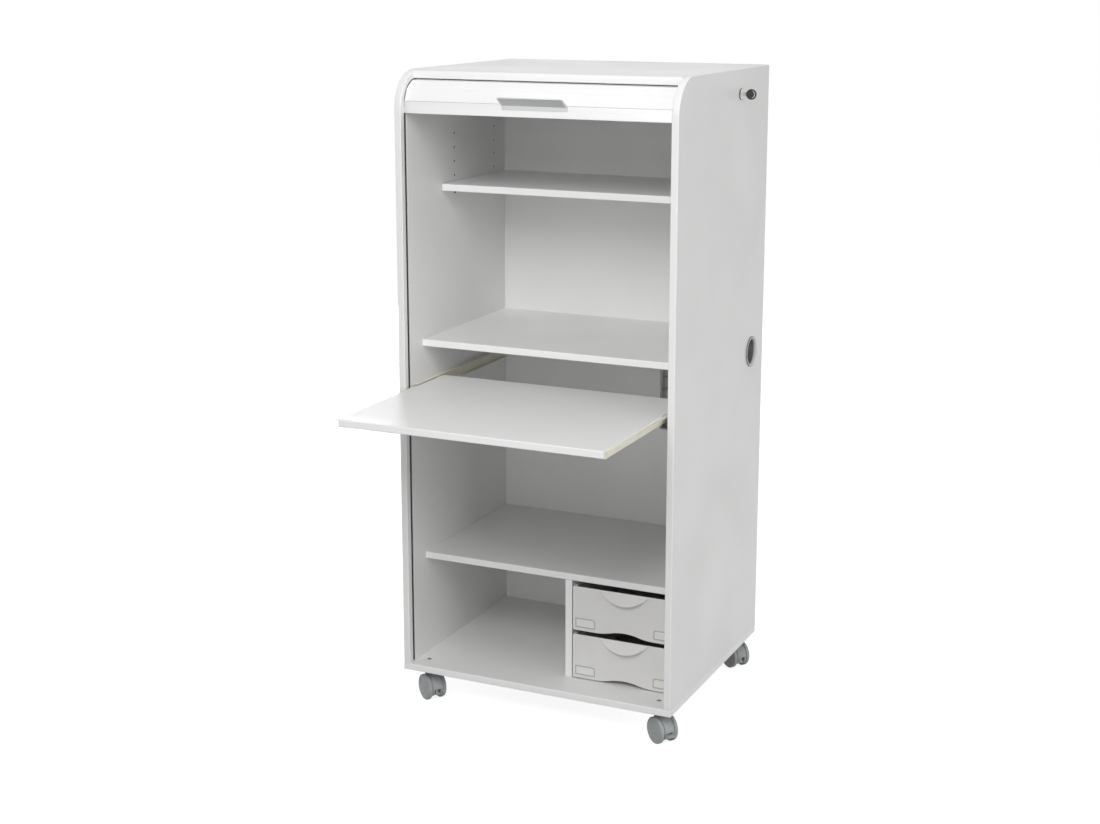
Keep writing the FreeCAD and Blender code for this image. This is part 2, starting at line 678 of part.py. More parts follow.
def desk_rail(side):
    # Foot under the desk, plate beside it, lip that runs on the front roller, stub for the rear roller.
    wall = dim.rail_wall
    outline = [(desk_edge - dim.rail_foot, desk[0] - wall), (plate_face, desk[0] - wall),
               (plate_face, rail_top - wall), (plate_face + dim.rail_lip, rail_top - wall),
               (plate_face + dim.rail_lip, rail_top), (desk_edge, rail_top), (desk_edge, desk[0]),
               (desk_edge - dim.rail_foot, desk[0])]
    profile = prism("xz", mirrored(side, outline), desk_rail_span)
    notch = box(flipped(side, (plate_face, plate_face + dim.rail_lip + dim.overrun)),
                (rear_roller_y - rear_roller_diameter, desk_rail_span[1] + dim.overrun),
                (rail_top - wall * 2, rail_top + dim.overrun))
    stub = rod("x", dim.roller_pin_diameter, flipped(side, (desk_edge, roller_span[1] + dim.roller_offset)),
               y=rear_roller_y, z=channel_middle)
    return cut(joined(cut(profile, notch), stub), grouped(*desk_screws(dim.fit_clearance)))


def cabinet_rail(side):
    # Channel on the side panel with the front roller's stub near its mouth.
    wall = dim.rail_wall
    low, high = channel_bottom, channel_bottom + dim.channel_height
    edge = inner_right - dim.channel_reach
    outline = [(edge, low - wall), (inner_right, low - wall), (inner_right, high + wall),
               (edge, high + wall), (edge, high), (web_face, high), (web_face, low), (edge, low)]
    profile = prism("xz", mirrored(side, outline), cabinet_rail_span)
    stub_span = flipped(side, (roller_span[0] - dim.roller_offset / 2, inner_right))
    stub = rod("x", dim.roller_pin_diameter, stub_span, y=front_roller_y, z=front_roller_z)
    holes = [rod("x", dim.rail_screw_diameter + dim.fit_clearance * 2,
                 flipped(side, (web_face - dim.overrun, inner_right)), y=y, z=channel_middle)
             for y in rail_screw_places()]
    return cut(joined(profile, stub), grouped(*holes))


def roller(side, diameter, y, z):
    wheel = rod("x", diameter, flipped(side, roller_span), y=y, z=z)
    bore = rod("x", dim.roller_pin_diameter + dim.fit_clearance * 2,
               flipped(side, (roller_span[0] - dim.overrun, roller_span[1] + dim.overrun)), y=y, z=z)
    return cut(wheel, bore)


def cabinet_rail_screw(side, y):
    head = rod("x", dim.rail_screw_head, flipped(side, (web_face - dim.rail_screw_head_height, web_face)),
               y=y, z=channel_middle)
    shank = rod("x", dim.rail_screw_diameter,
                flipped(side, (web_face, inner_right + dim.rail_screw_length - dim.slide_clearance)),
                y=y, z=channel_middle)
    return joined(head, shank)


for side, word in ((-1, "left"), (1, "right")):
    node(desk_rail(side), f"{word}_desk_rail")
    node(cabinet_rail(side), f"{word}_cabinet_rail")
    node(roller(side, dim.front_roller_diameter, front_roller_y, front_roller_z), f"{word}_front_roller")
    node(roller(side, rear_roller_diameter, rear_roller_y, channel_middle), f"{word}_rear_roller")
cabinet_screws = [cabinet_rail_screw(side, y) for side in (-1, 1) for y in rail_screw_places()]
node(grouped(*cabinet_screws), "cabinet_rail_screws")

# Drawers in the lower right bay.
bay = (divider[1], inner_right)
bay_middle = (bay[0] + bay[1]) / 2
drawer_gaps = dim.drawer_floor_gap + dim.drawer_gap + dim.drawer_head_gap
drawer_height = (file_shelf[0] - floor_top - drawer_gaps) / 2
drawer_rear = inner_back - dim.drawer_back_gap
tray_sides = (bay[0] + dim.tray_side_gap, bay[1] - dim.tray_side_gap)
drawer_feet = {"lower": floor_top + dim.drawer_floor_gap,
               "upper": floor_top + dim.drawer_floor_gap + drawer_height + dim.drawer_gap}


def arc_radius(half, rise):
    # Radius of the arc that rises by the given amount over a chord of twice the given half.
    return Size((half.amount ** 2 + rise.amount ** 2) / (2 * rise.amount),
                f"(({half.text} ^ 2 + {rise.text} ^ 2) / (2 * {rise.text}))")


def grip_lip(head):
    # A lip that leans out from the front's top edge down to an arc, open below for the fingers.
    half, drop, reach = dim.grip_width / 2, dim.grip_drop, dim.grip_reach
    inside = shelf_front + dim.drawer_front_wall
    arc = [(bay_middle - half, head), (bay_middle + half, head, arc_radius(half, drop))]
    segment = prism("xz", arc, (shelf_front - reach, inside))
    lean = reach.amount / drop.amount
    across = (bay_middle - dim.grip_width, bay_middle + dim.grip_width)
    wedge = prism("yz", [(shelf_front, head), (shelf_front - reach, head - drop), (inside, head - drop),
                         (inside, head)], across)
    start, end = head - dim.grip_wall / lean, head - drop - dim.overrun
    pocket_front = shelf_front + dim.grip_wall - reach - dim.overrun * lean
    pocket = prism("yz", [(shelf_front, start), (pocket_front, end), (shelf_front, end)], across)
    return cut(common(segment, wedge), pocket)


def drawer(foot):
    # A moulded tray: front with a grip lip and an arched hem, box behind it and a rim on each side.
    head = foot + drawer_height
    x0, x1 = bay[0] + dim.drawer_side_gap, bay[1] - dim.drawer_side_gap
    nose = dim.drawer_corner_round
    half, rise = dim.arch_width / 2, dim.arch_rise
    sweep = arc_radius(half / 2, rise / 2)
    hem = [(x0 + nose, foot, nose), (bay_middle - half, foot),
           (bay_middle - half / 2, foot + rise / 2, sweep), (bay_middle, foot + rise, -sweep),
           (bay_middle + half / 2, foot + rise / 2, -sweep), (bay_middle + half, foot, sweep),
           (x1 - nose, foot), (x1, foot + nose, nose), (x1, head - nose), (x1 - nose, head, nose),
           (x0 + nose, head), (x0, head - nose, nose), (x0, foot + nose)]
    wall = dim.drawer_wall
    face = (shelf_front, shelf_front + dim.drawer_front_wall)
    plate = prism("xz", hem, face)
    tray_height = (foot + dim.tray_lift, head - dim.tray_drop)
    outer = box(tray_sides, (shelf_front, drawer_rear), tray_height)
    hollow = box((tray_sides[0] + wall, tray_sides[1] - wall), (face[1], drawer_rear - wall),
                 (tray_height[0] + wall, head + dim.overrun))
    rim_span = (shelf_front + dim.rim_front_gap, drawer_rear)
    rim_level = (tray_height[1] - dim.rim_height, tray_height[1])
    rims = [box((tray_sides[0] - dim.rim_width, tray_sides[0]), rim_span, rim_level),
            box((tray_sides[1], tray_sides[1] + dim.rim_width), rim_span, rim_level)]
    return cut(joined(plate, outer, grip_lip(head), *rims), hollow)


def label_outline(span, level, turn, side):
    # A rectangle whose upper corner towards the drawer's middle is rounded.
    if side > 0:
        return [(span[0], level[0]), (span[1], level[0]), (span[1], level[1] - turn),
                (span[1] - turn, level[1], turn), (span[0], level[1])]
    return [(span[0], level[0]), (span[1], level[0]), (span[1], level[1]),
            (span[0] + turn, level[1]), (span[0], level[1] - turn, turn)]


def label_holders(foot):
    # A frame at each lower corner of the front, open for a card.
    holders = []
    depth = (shelf_front - dim.label_thickness, shelf_front)
    level = (foot + dim.label_lift, foot + dim.label_lift + dim.label_height)
    inner_level = (level[0] + dim.label_border, level[1] - dim.label_border)
    reach = dim.label_side_inset + dim.label_width
    window_depth = (depth[0] - dim.overrun, depth[0] + dim.label_recess)
    inner_round = dim.label_round - dim.label_border
    for low, side in ((bay[0] + dim.label_side_inset, 1), (bay[1] - reach, -1)):
        span = (low, low + dim.label_width)
        inner_span = (span[0] + dim.label_border, span[1] - dim.label_border)
        frame = prism("xz", label_outline(span, level, dim.label_round, side), depth)
        window = prism("xz", label_outline(inner_span, inner_level, inner_round, side), window_depth)
        holders.append(cut(frame, window))
    return grouped(*holders)


def drawer_rail(side, foot):
    # Channel that carries one rim: ledge below, keeper above.
    rim_low = foot + drawer_height - dim.tray_drop - dim.rim_height
    ledge = rim_low - dim.slide_clearance
    low, high = ledge - dim.drawer_rail_flange, ledge - dim.drawer_rail_flange + dim.drawer_rail_height
    web = bay[1] - dim.drawer_rail_web if side > 0 else bay[0] + dim.drawer_rail_web
    edge = bay[1] - dim.drawer_rail_ledge if side > 0 else bay[0] + dim.drawer_rail_ledge
    wall = bay[1] if side > 0 else bay[0]
    outline = [(edge, low), (wall, low), (wall, high), (edge, high), (edge, high - dim.drawer_rail_flange),
               (web, high - dim.drawer_rail_flange), (web, ledge), (edge, ledge)]
    outline = outline if side > 0 else list(reversed(outline))
    return prism("xz", outline, (shelf_front + dim.rim_front_gap, inner_back))


for word, foot in drawer_feet.items():
    node(drawer(foot), f"{word}_drawer")
    node(label_holders(foot), f"{word}_label_holders")
rails = [drawer_rail(side, foot) for side in (-1, 1) for foot in drawer_feet.values()]
node(grouped(*rails), "drawer_rails")


# Casters. Each is drawn at its swivel axis with the wheels trailing along +X, then turned and moved.
wheel_centre = dim.wheel_diameter / 2


def stand(thing, place):
    thing.Placement.Rotation = FreeCAD.Rotation(FreeCAD.Vector(0, 0, 1), angles["caster_angle"])
    return move(thing, place[0], place[1], zero)


def axle_rod(diameter, half):
    return rod("y", diameter, (-half, half), x=dim.caster_trail, z=wheel_centre)


def hood():
    inside = dim.hood_diameter - dim.hood_wall * 2
    seat = base - dim.insert_flange - dim.slide_clearance
    drum = axle_rod(dim.hood_diameter, dim.hood_half_width)
    collar = rod("z", dim.collar_diameter, (wheel_centre, seat), x=zero, y=zero)
    shell = cut(joined(drum, collar), axle_rod(inside, dim.hood_half_width + dim.overrun))
    web = axle_rod(dim.hood_diameter - dim.hood_wall, dim.hood_web / 2)
    hub = axle_rod(dim.hood_hub_diameter, dim.hood_hub_half)
    boss = rod("z", dim.boss_diameter, (dim.boss_foot, seat), x=zero, y=zero)
    far = dim.caster_trail + dim.hood_diameter
    below = box((-far, far), (-dim.hood_diameter, dim.hood_diameter), (-dim.overrun, dim.hood_hem_height))
    arch_x = (dim.caster_trail + dim.hood_diameter / 2 - dim.hood_wall * 2, far)
    arch_side, arch_top, turn = dim.arch_half_width, dim.arch_height, dim.arch_round
    arch = prism("yz", [(-arch_side, -dim.overrun), (arch_side, -dim.overrun), (arch_side, arch_top - turn),
                        (arch_side - turn, arch_top, turn), (-arch_side + turn, arch_top),
                        (-arch_side, arch_top - turn, turn)], arch_x)
    play = dim.fit_clearance * 2
    stem_span = (dim.boss_foot - dim.overrun, seat + dim.overrun)
    stem_bore = rod("z", dim.stem_diameter + play, stem_span, x=zero, y=zero)
    pin_bore = rod("y", dim.brake_pin_diameter + play, (-dim.hood_web, dim.hood_web),
                   x=dim.caster_trail + dim.brake_pivot_reach, z=dim.brake_pivot_height)
    axle_bore = axle_rod(dim.axle_diameter + play, dim.hood_diameter)
    return cut(joined(shell, web, hub, boss), below, arch, stem_bore, pin_bore, axle_bore)


def wheel(side):
    # Cup-shaped wheel: tread rim, step under the hood, hub with a blind bore and a crowned outer disc.
    tread, step = dim.wheel_diameter / 2, dim.wheel_step_diameter / 2
    cup, hub = dim.wheel_cup_diameter / 2, dim.wheel_hub_diameter / 2
    bore = dim.axle_diameter / 2 + dim.fit_clearance
    edge = dim.wheel_edge
    bore_end = dim.axle_half + dim.slide_clearance
    crown = dim.wheel_outer + dim.wheel_crown
    outline = [(bore, dim.wheel_inner), (hub, dim.wheel_inner), (hub, dim.wheel_cup_floor),
               (cup, dim.wheel_cup_floor), (cup, dim.wheel_inner), (step, dim.wheel_inner),
               (step, dim.wheel_step), (tread - edge, dim.wheel_step), (tread, dim.wheel_step + edge),
               (tread, dim.wheel_outer - edge), (tread - edge, dim.wheel_outer), (hub, crown),
               (zero, crown), (zero, bore_end), (bore, bore_end)]
    body = turned(outline)
    body.Placement.Rotation = FreeCAD.Rotation(FreeCAD.Vector(1, 0, 0), -90 * side)
    move(body, dim.caster_trail, zero, wheel_centre)
    return grouped(body)


def brake_lever():
    # Fork on the web's pin, joined outside the hood by a wider pedal.
    pivot_x, pivot_z = dim.caster_trail + dim.brake_pivot_reach, dim.brake_pivot_height
    half = dim.brake_half_width
    inner = dim.hood_web / 2 + dim.brake_arm_gap
    pedal_start = dim.caster_trail + dim.brake_pedal_start
    pedal_end = dim.caster_trail + dim.brake_pedal_end
    arm_level = (pivot_z - dim.brake_arm_height / 2, pivot_z + dim.brake_arm_height / 2)
    arms = []
    for low, high in ((-half, -inner), (inner, half)):
        arms.append(box((pivot_x, pedal_start + dim.brake_pedal), (low, high), arm_level))
        arms.append(rod("y", dim.brake_arm_height, (low, high), x=pivot_x, z=pivot_z))
    pedal = box((pedal_start, pedal_end), (-dim.brake_pedal_half_width, dim.brake_pedal_half_width),
                (arm_level[1] - dim.brake_pedal, arm_level[1]))
    pin = rod("y", dim.brake_pin_diameter, (-half, half), x=pivot_x, z=pivot_z)
    return joined(*arms, pedal, pin)


for word, place in caster_places.items():
    node(stand(hood(), place), f"{word}_caster_hood")
    node(stand(grouped(axle_rod(dim.axle_diameter, dim.axle_half)), place), f"{word}_caster_axle")
    node(stand(wheel(-1), place), f"{word}_near_wheel")
    node(stand(wheel(1), place), f"{word}_far_wheel")
for word in ("front_right", "rear_left"):
    node(stand(brake_lever(), caster_places[word]), f"{word}_brake_lever")

stems, inserts = [], []
for x, y in caster_places.values():
    stems.append(rod("z", dim.stem_diameter, (dim.boss_foot, floor_top - dim.stem_recess), x=x, y=y))
    sleeve = rod("z", dim.insert_diameter, (base - dim.insert_flange, floor_top), x=x, y=y)
    flange = rod("z", dim.insert_flange_diameter, (base - dim.insert_flange, base), x=x, y=y)
    bore = rod("z", dim.stem_diameter + dim.fit_clearance * 2, through_floor, x=x, y=y)
    inserts.append(cut(joined(sleeve, flange), bore))
node(grouped(*stems), "caster_stems")
node(grouped(*inserts), "caster_inserts")

# Side lock: housing in the right panel, plug, key and cam that turn together.
rosette_face = right + dim.lock_rosette
housing_end = inner_right - dim.lock_inside
plug_end = housing_end - dim.lock_plug_shoulder


def lock_rod(diameter, span):
    return rod("x", diameter, span, y=lock_y, z=lock_z)


housing = joined(lock_rod(dim.lock_barrel_diameter, (housing_end, rosette_face)),
                 lock_rod(dim.lock_rosette_diameter, (right, rosette_face)))
through_housing = (housing_end - dim.overrun, rosette_face + dim.overrun)
plug_bore = lock_rod(dim.lock_plug_diameter + dim.fit_clearance * 2, through_housing)
node(cut(housing, plug_bore), "lock_housing")
keyway_span = (rosette_face - dim.keyway_depth, rosette_face + dim.overrun)
half_way, half_blade = dim.keyway_width / 2, dim.keyway_width / 2 - dim.fit_clearance
keyway = box(keyway_span, (lock_y - half_way, lock_y + half_way),
             (lock_z - dim.keyway_height / 2, lock_z + dim.keyway_height / 2))
node(cut(lock_rod(dim.lock_plug_diameter, (plug_end, rosette_face)), keyway), "lock_plug")
head_x = right + dim.key_head_out
blade_rise = dim.keyway_height / 2 - dim.fit_clearance
blade = box((keyway_span[0] + dim.slide_clearance, head_x), (lock_y - half_blade, lock_y + half_blade),
            (lock_z - blade_rise, lock_z + blade_rise))
bow_span = (lock_y - dim.key_head / 2, lock_y + dim.key_head / 2)
bow = rod("y", dim.key_head_diameter, bow_span, x=head_x, z=lock_z)
neck_level = (lock_z - dim.key_neck / 2, lock_z + dim.key_neck / 2)
neck = box((head_x - dim.key_head_diameter / 2 - dim.key_collar, head_x), bow_span, neck_level)
through_bow = (bow_span[0] - dim.overrun, bow_span[1] + dim.overrun)
ring_slot = cut(rod("y", dim.key_slot_diameter, through_bow, x=head_x, z=lock_z),
                rod("y", dim.key_slot_diameter, through_bow, x=head_x - dim.key_slot_width, z=lock_z))
node(cut(joined(blade, bow, neck), ring_slot), "lock_key")
cam_span = (plug_end - dim.cam_thickness, plug_end)
cam_tip = lock_y + dim.cam_length - dim.cam_width / 2
cam = joined(lock_rod(dim.cam_width, cam_span),
             box(cam_span, (lock_y, cam_tip), (lock_z - dim.cam_width / 2, lock_z + dim.cam_width / 2)),
             rod("x", dim.cam_width, cam_span, y=cam_tip, z=lock_z))
node(cam, "lock_cam")

# Cable grommet in the right side panel.
sleeve_diameter = dim.grommet_bore + dim.grommet_wall * 2
grommet_face = right + dim.grommet_flange


def grommet_rod(diameter, span):
    return rod("x", diameter, span, y=grommet_y, z=grommet_z)


ring = joined(grommet_rod(sleeve_diameter, (inner_right, grommet_face)),
              grommet_rod(dim.grommet_flange_diameter, (right, grommet_face)))
passage = grommet_rod(dim.grommet_bore, (inner_right - dim.overrun, grommet_face + dim.overrun))
node(cut(ring, passage), "cable_grommet")

doc.recompute()
for thing in doc.Objects:
    if "Invalid" in thing.State or "Error" in thing.State:
        raise RuntimeError(f"{thing.Label} failed: {thing.State}")
for thing in nodes:
    if thing.Shape.isNull() or not thing.Shape.isValid():
        raise RuntimeError(f"{thing.Label} has no valid shape")
os.makedirs("parts", exist_ok=True)
for thing in nodes:
    thing.Shape.exportStep(f"parts/{thing.Label}.step")
print(f"{len(nodes)} nodes written")
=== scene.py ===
import json
import math

import bmesh
import bpy
from mathutils import Matrix, Vector

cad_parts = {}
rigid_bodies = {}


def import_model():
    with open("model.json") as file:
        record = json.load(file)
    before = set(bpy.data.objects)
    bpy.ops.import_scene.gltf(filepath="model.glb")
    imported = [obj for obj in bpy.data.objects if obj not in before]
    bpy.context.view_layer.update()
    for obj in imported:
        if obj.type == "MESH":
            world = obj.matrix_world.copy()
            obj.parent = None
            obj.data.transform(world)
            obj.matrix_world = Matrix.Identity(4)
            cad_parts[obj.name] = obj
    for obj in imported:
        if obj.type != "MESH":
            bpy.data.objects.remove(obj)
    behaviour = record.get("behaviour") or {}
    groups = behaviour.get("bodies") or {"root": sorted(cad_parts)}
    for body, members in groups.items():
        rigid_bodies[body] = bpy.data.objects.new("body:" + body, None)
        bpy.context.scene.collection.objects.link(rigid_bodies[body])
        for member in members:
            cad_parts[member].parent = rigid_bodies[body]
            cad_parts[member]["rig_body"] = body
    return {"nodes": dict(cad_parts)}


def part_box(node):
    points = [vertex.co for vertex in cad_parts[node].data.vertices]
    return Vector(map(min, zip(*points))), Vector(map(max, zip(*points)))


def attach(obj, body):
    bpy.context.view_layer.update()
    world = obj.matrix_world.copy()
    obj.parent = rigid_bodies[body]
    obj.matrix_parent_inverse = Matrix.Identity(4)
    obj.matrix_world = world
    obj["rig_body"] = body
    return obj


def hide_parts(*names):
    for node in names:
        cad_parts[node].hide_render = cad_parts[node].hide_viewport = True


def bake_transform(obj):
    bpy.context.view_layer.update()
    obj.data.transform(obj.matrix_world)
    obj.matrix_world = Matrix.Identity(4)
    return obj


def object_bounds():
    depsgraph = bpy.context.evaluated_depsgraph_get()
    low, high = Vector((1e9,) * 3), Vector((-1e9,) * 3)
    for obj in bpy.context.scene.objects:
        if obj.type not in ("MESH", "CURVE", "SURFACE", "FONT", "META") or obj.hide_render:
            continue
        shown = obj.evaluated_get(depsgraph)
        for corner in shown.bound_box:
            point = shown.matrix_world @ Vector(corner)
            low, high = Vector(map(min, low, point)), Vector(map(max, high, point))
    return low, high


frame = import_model()
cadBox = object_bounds()
nodes = frame["nodes"]
scene = bpy.context.scene
casterWords = ("front_left", "front_right", "rear_left", "rear_right")
print("frame loaded,", len(nodes), "nodes")


# meshes and objects

meshing = {"mergeGap": 2e-6, "flatDeg": 0.6, "flatLimit": 0.9999, "smoothDeg": 32, "cornerSteps": 4,
           "straightDeg": 89, "sortDigits": 5}


def middleOf(box):
    return (box[0] + box[1]) / 2


def newPiece(name, data):
    piece = bpy.data.objects.new(name, data)
    scene.collection.objects.link(piece)
    return piece


def meshFrom(work, name, smoothDeg=meshing["smoothDeg"], keepFlat=False):
    # with keepFlat, faces that lie along an axis keep their own shading
    limit = math.radians(smoothDeg)
    if keepFlat:
        for edge in work.edges:
            straight = [max(abs(part) for part in face.normal) for face in edge.link_faces]
            flats = {share > meshing["flatLimit"] for share in straight}
            edge.smooth = edge.calc_face_angle(math.pi) < limit and len(flats) == 1
    mesh = bpy.data.meshes.new(name)
    work.to_mesh(mesh)
    work.free()
    mesh.shade_smooth()
    if not keepFlat:
        mesh.set_sharp_from_angle(angle=limit)
    return mesh


def roundCorners(corners):
    # corners are (u, v, radius); each radius becomes a short arc
    points = []
    steps = meshing["cornerSteps"]
    for index, (u, v, radius) in enumerate(corners):
        here = Vector((u, v))
        back = Vector(corners[index - 1][:2]) - here
        ahead = Vector(corners[(index + 1) % len(corners)][:2]) - here
        half = back.angle(ahead) / 2
        if radius <= 0 or half > math.radians(meshing["straightDeg"]):
            points.append(here)
            continue
        back.normalize()
        ahead.normalize()
        reach = radius / math.tan(half)
        centre = here + (back + ahead).normalized() * (radius / math.sin(half))
        first = here + back * reach - centre
        last = here + ahead * reach - centre
        turn = first.angle_signed(last)
        for step in range(steps + 1):
            arm = first.copy()
            arm.rotate(Matrix.Rotation(-turn * step / steps, 2))
            points.append(centre + arm)
    return points


def prism(outline, low, high, along="x"):
    # a closed outline of (y, z) points drawn along X, or of (x, z) points along Y
    work = bmesh.new()
    rings = []
    for far in (low, high):
        places = [(far, u, v) if along == "x" else (u, far, v) for u, v in outline]
        rings.append([work.verts.new(place) for place in places])
    for i in range(len(outline)):
        j = (i + 1) % len(outline)
        work.faces.new((rings[0][i], rings[0][j], rings[1][j], rings[1][i]))
    for ring in rings:
        work.faces.new(ring)
    bmesh.ops.recalc_face_normals(work, faces=work.faces)
    return work


def latheY(profile, steps):
    # (radius, y) points turned about the Y axis; a radius of zero closes the pole
    work = bmesh.new()
    rings = []
    for radius, y in profile:
        if not radius:
            rings.append([work.verts.new((0, y, 0))])
            continue
        ring = []
        for step in range(steps):
            angle = 2 * math.pi * step / steps
            ring.append(work.verts.new((radius * math.cos(angle), y, radius * math.sin(angle))))
        rings.append(ring)
    for first, second in zip(rings, rings[1:] + rings[:1]):
        if len(first) == 1 and len(second) == 1:
            continue
        for step in range(steps):
            after = (step + 1) % steps
            corners = [first[step % len(first)], first[after % len(first)],
                       second[after % len(second)], second[step % len(second)]]
            work.faces.new(list(dict.fromkeys(corners)))
    bmesh.ops.recalc_face_normals(work, faces=work.faces)
    return work


def joined(parts):
    whole = bmesh.new()
    for part in parts:
        single = bpy.data.meshes.new("single")
        part.to_mesh(single)
        part.free()
        whole.from_mesh(single)
        bpy.data.meshes.remove(single)
    return whole


def mergedCopy(node, plainFaces=False):
    # a CAD node's triangles joined at their corners, and flat faces made whole if asked
    work = bmesh.new()
    work.from_mesh(nodes[node].data)
    bmesh.ops.remove_doubles(work, verts=work.verts, dist=meshing["mergeGap"])
    if plainFaces:
        limit = math.radians(meshing["flatDeg"])
        bmesh.ops.dissolve_limit(work, angle_limit=limit, verts=work.verts, edges=work.edges)
    return work


def skinOf(node, work, keepFlat=False):
    # a piece from a worked copy of a CAD node
    mesh = meshFrom(work, f"{node}_skin", keepFlat=keepFlat)
    if "custom_normal" in mesh.attributes:
        mesh.attributes.remove(mesh.attributes["custom_normal"])
    return newPiece(f"{node}_skin", mesh)


def islands(node):
    # boxes of the loose solids of a CAD node
    work = mergedCopy(node)
    left = set(work.verts)
    boxes = []
    while left:
        seed = left.pop()
        stack, found = [seed], [seed.co.copy()]
        while stack:
            for edge in stack.pop().link_edges:
                for vert in edge.verts:
                    if vert in left:
                        left.remove(vert)
                        stack.append(vert)
                        found.append(vert.co.copy())
        low = Vector([min(place[i] for place in found) for i in range(3)])
        high = Vector([max(place[i] for place in found) for i in range(3)])
        boxes.append((low, high))
    work.free()
    return sorted(boxes, key=lambda box: tuple(round(value, meshing["sortDigits"]) for value in box[0]))


def plainMesh(piece):
    # the evaluated piece as a plain mesh, its modifiers gone
    bpy.context.view_layer.update()
    before = piece.data
    made = bpy.data.meshes.new_from_object(piece.evaluated_get(bpy.context.evaluated_depsgraph_get()))
    piece.modifiers.clear()
    piece.data = made
    bpy.data.meshes.remove(before)
    made.name = piece.name
    return piece


def finished(piece, look, body, *stoodFor):
    piece.data.materials.clear()
    piece.data.materials.append(looks[look])
    if stoodFor:
        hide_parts(*stoodFor)
    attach(piece, body)


# node helpers

def put(tree, kind, inputs=None, **settings):
    made = tree.nodes.new(kind)
    for key, value in settings.items():
        setattr(made, key, value)
    for key, value in (inputs or {}).items():
        if isinstance(value, bpy.types.NodeSocket):
            tree.links.new(value, made.inputs[key])
        else:
            made.inputs[key].default_value = value
    return made


def maths(tree, operation, first, second=0.0, clamp=False):
    made = put(tree, "ShaderNodeMath", {0: first, 1: second}, operation=operation, use_clamp=clamp)
    return made.outputs[0]


def vectors(tree, operation, first, second=(0, 0, 0), out="Vector"):
    return put(tree, "ShaderNodeVectorMath", {0: first, 1: second}, operation=operation).outputs[out]


def ramp(tree, value, low, high, outLow=0.0, outHigh=1.0):
    inputs = {"Value": value, "From Min": low, "From Max": high, "To Min": outLow, "To Max": outHigh}
    return put(tree, "ShaderNodeMapRange", inputs, interpolation_type="SMOOTHSTEP").outputs["Result"]


def blendColour(tree, amount, first, second):
    # inputs 6 and 7 and output 2 are the mix node's colours
    return put(tree, "ShaderNodeMix", {0: amount, 6: first, 7: second}, data_type="RGBA").outputs[2]


def noise(tree, spot, scale, detail, rough=0.5):
    inputs = {"Vector": spot, "Scale": scale, "Detail": detail, "Roughness": rough}
    return put(tree, "ShaderNodeTexNoise", inputs).outputs["Fac"]


def spotOn(tree):
    return put(tree, "ShaderNodeTexCoord").outputs["Object"]


def axisOf(tree, axis):
    return put(tree, "ShaderNodeSeparateXYZ", {"Vector": spotOn(tree)}).outputs[axis]


def startGroup(name, inputs, outputs, kind="ShaderNodeTree"):
    tree = bpy.data.node_groups.new(name, kind)
    for way, sockets in (("INPUT", inputs), ("OUTPUT", outputs)):
        for label, value in sockets.items():
            tree.interface.new_socket(label, in_out=way, socket_type=f"NodeSocket{value}")
    return tree, tree.nodes.new("NodeGroupInput").outputs, tree.nodes.new("NodeGroupOutput").inputs


# shader groups

pebble = {"detail": 2.0, "rough": 0.6, "cloudDetail": 4.0, "cloud": (0.3, 0.7)}


def makePebble():
    # fine pressed texture with broad uneven gloss
    tree, given, out = startGroup("pressedPebble", {"Grain": "Float", "Cloud": "Float"},
                                  {"Height": "Float", "Cloudiness": "Float"})
    spot = spotOn(tree)
    fine = noise(tree, spot, given["Grain"], pebble["detail"], pebble["rough"])
    broad = noise(tree, spot, given["Cloud"], pebble["cloudDetail"])
    tree.links.new(fine, out["Height"])
    tree.links.new(ramp(tree, broad, *pebble["cloud"]), out["Cloudiness"])
    return tree


touch = {"samples": 6, "edge": (0.995, 0.88), "detail": 5.0, "chips": (0.42, 0.66)}


def makeEdgeTouch():
    # rounded shading at hard edges, and a broken mask of the wear along them
    tree, given, out = startGroup("edgeTouch", {"Radius": "Float", "Breaks": "Float"},
                                  {"Normal": "Vector", "Wear": "Float"})
    bevel = put(tree, "ShaderNodeBevel", {"Radius": given["Radius"]}, samples=touch["samples"])
    rounded = bevel.outputs["Normal"]
    plain = put(tree, "ShaderNodeNewGeometry").outputs["Normal"]
    edge = ramp(tree, vectors(tree, "DOT_PRODUCT", rounded, plain, "Value"), *touch["edge"])
    chips = ramp(tree, noise(tree, spotOn(tree), given["Breaks"], touch["detail"]), *touch["chips"])
    tree.links.new(rounded, out["Normal"])
    tree.links.new(maths(tree, "MULTIPLY", edge, chips), out["Wear"])
    return tree


banding = {"band": (0.95, 0.6), "seamIn": (0.93, 0.975), "seamOut": (0.975, 0.999)}


def makeEdgeBand():
    # tells the edging of a board from its faces, with the thin seam between them
    tree, given, out = startGroup("edgeBand", {"Face Axis": "Vector"}, {"Band": "Float", "Seam": "Float"})
    plain = put(tree, "ShaderNodeNewGeometry").outputs["Normal"]
    face = maths(tree, "ABSOLUTE", vectors(tree, "DOT_PRODUCT", plain, given["Face Axis"], "Value"))
    inner, outer = ramp(tree, face, *banding["seamIn"]), ramp(tree, face, *banding["seamOut"])
    tree.links.new(ramp(tree, face, *banding["band"]), out["Band"])
    tree.links.new(maths(tree, "SUBTRACT", inner, outer, clamp=True), out["Seam"])
    return tree


strokes = {"scale": 1.0, "detail": 3.0, "streak": (0.3, 0.7)}


def makeStrokes():
    # lines drawn along one axis by brushing or extruding
    tree, given, out = startGroup("drawnStrokes", {"Stretch": "Vector"},
                                  {"Height": "Float", "Streak": "Float"})
    drawn = vectors(tree, "MULTIPLY", spotOn(tree), given["Stretch"])
    fine = noise(tree, drawn, strokes["scale"], strokes["detail"])
    tree.links.new(fine, out["Height"])
    tree.links.new(ramp(tree, fine, *strokes["streak"]), out["Streak"])
    return tree


dust = {"scale": 140.0, "detail": 6.0, "patches": (0.4, 0.7)}


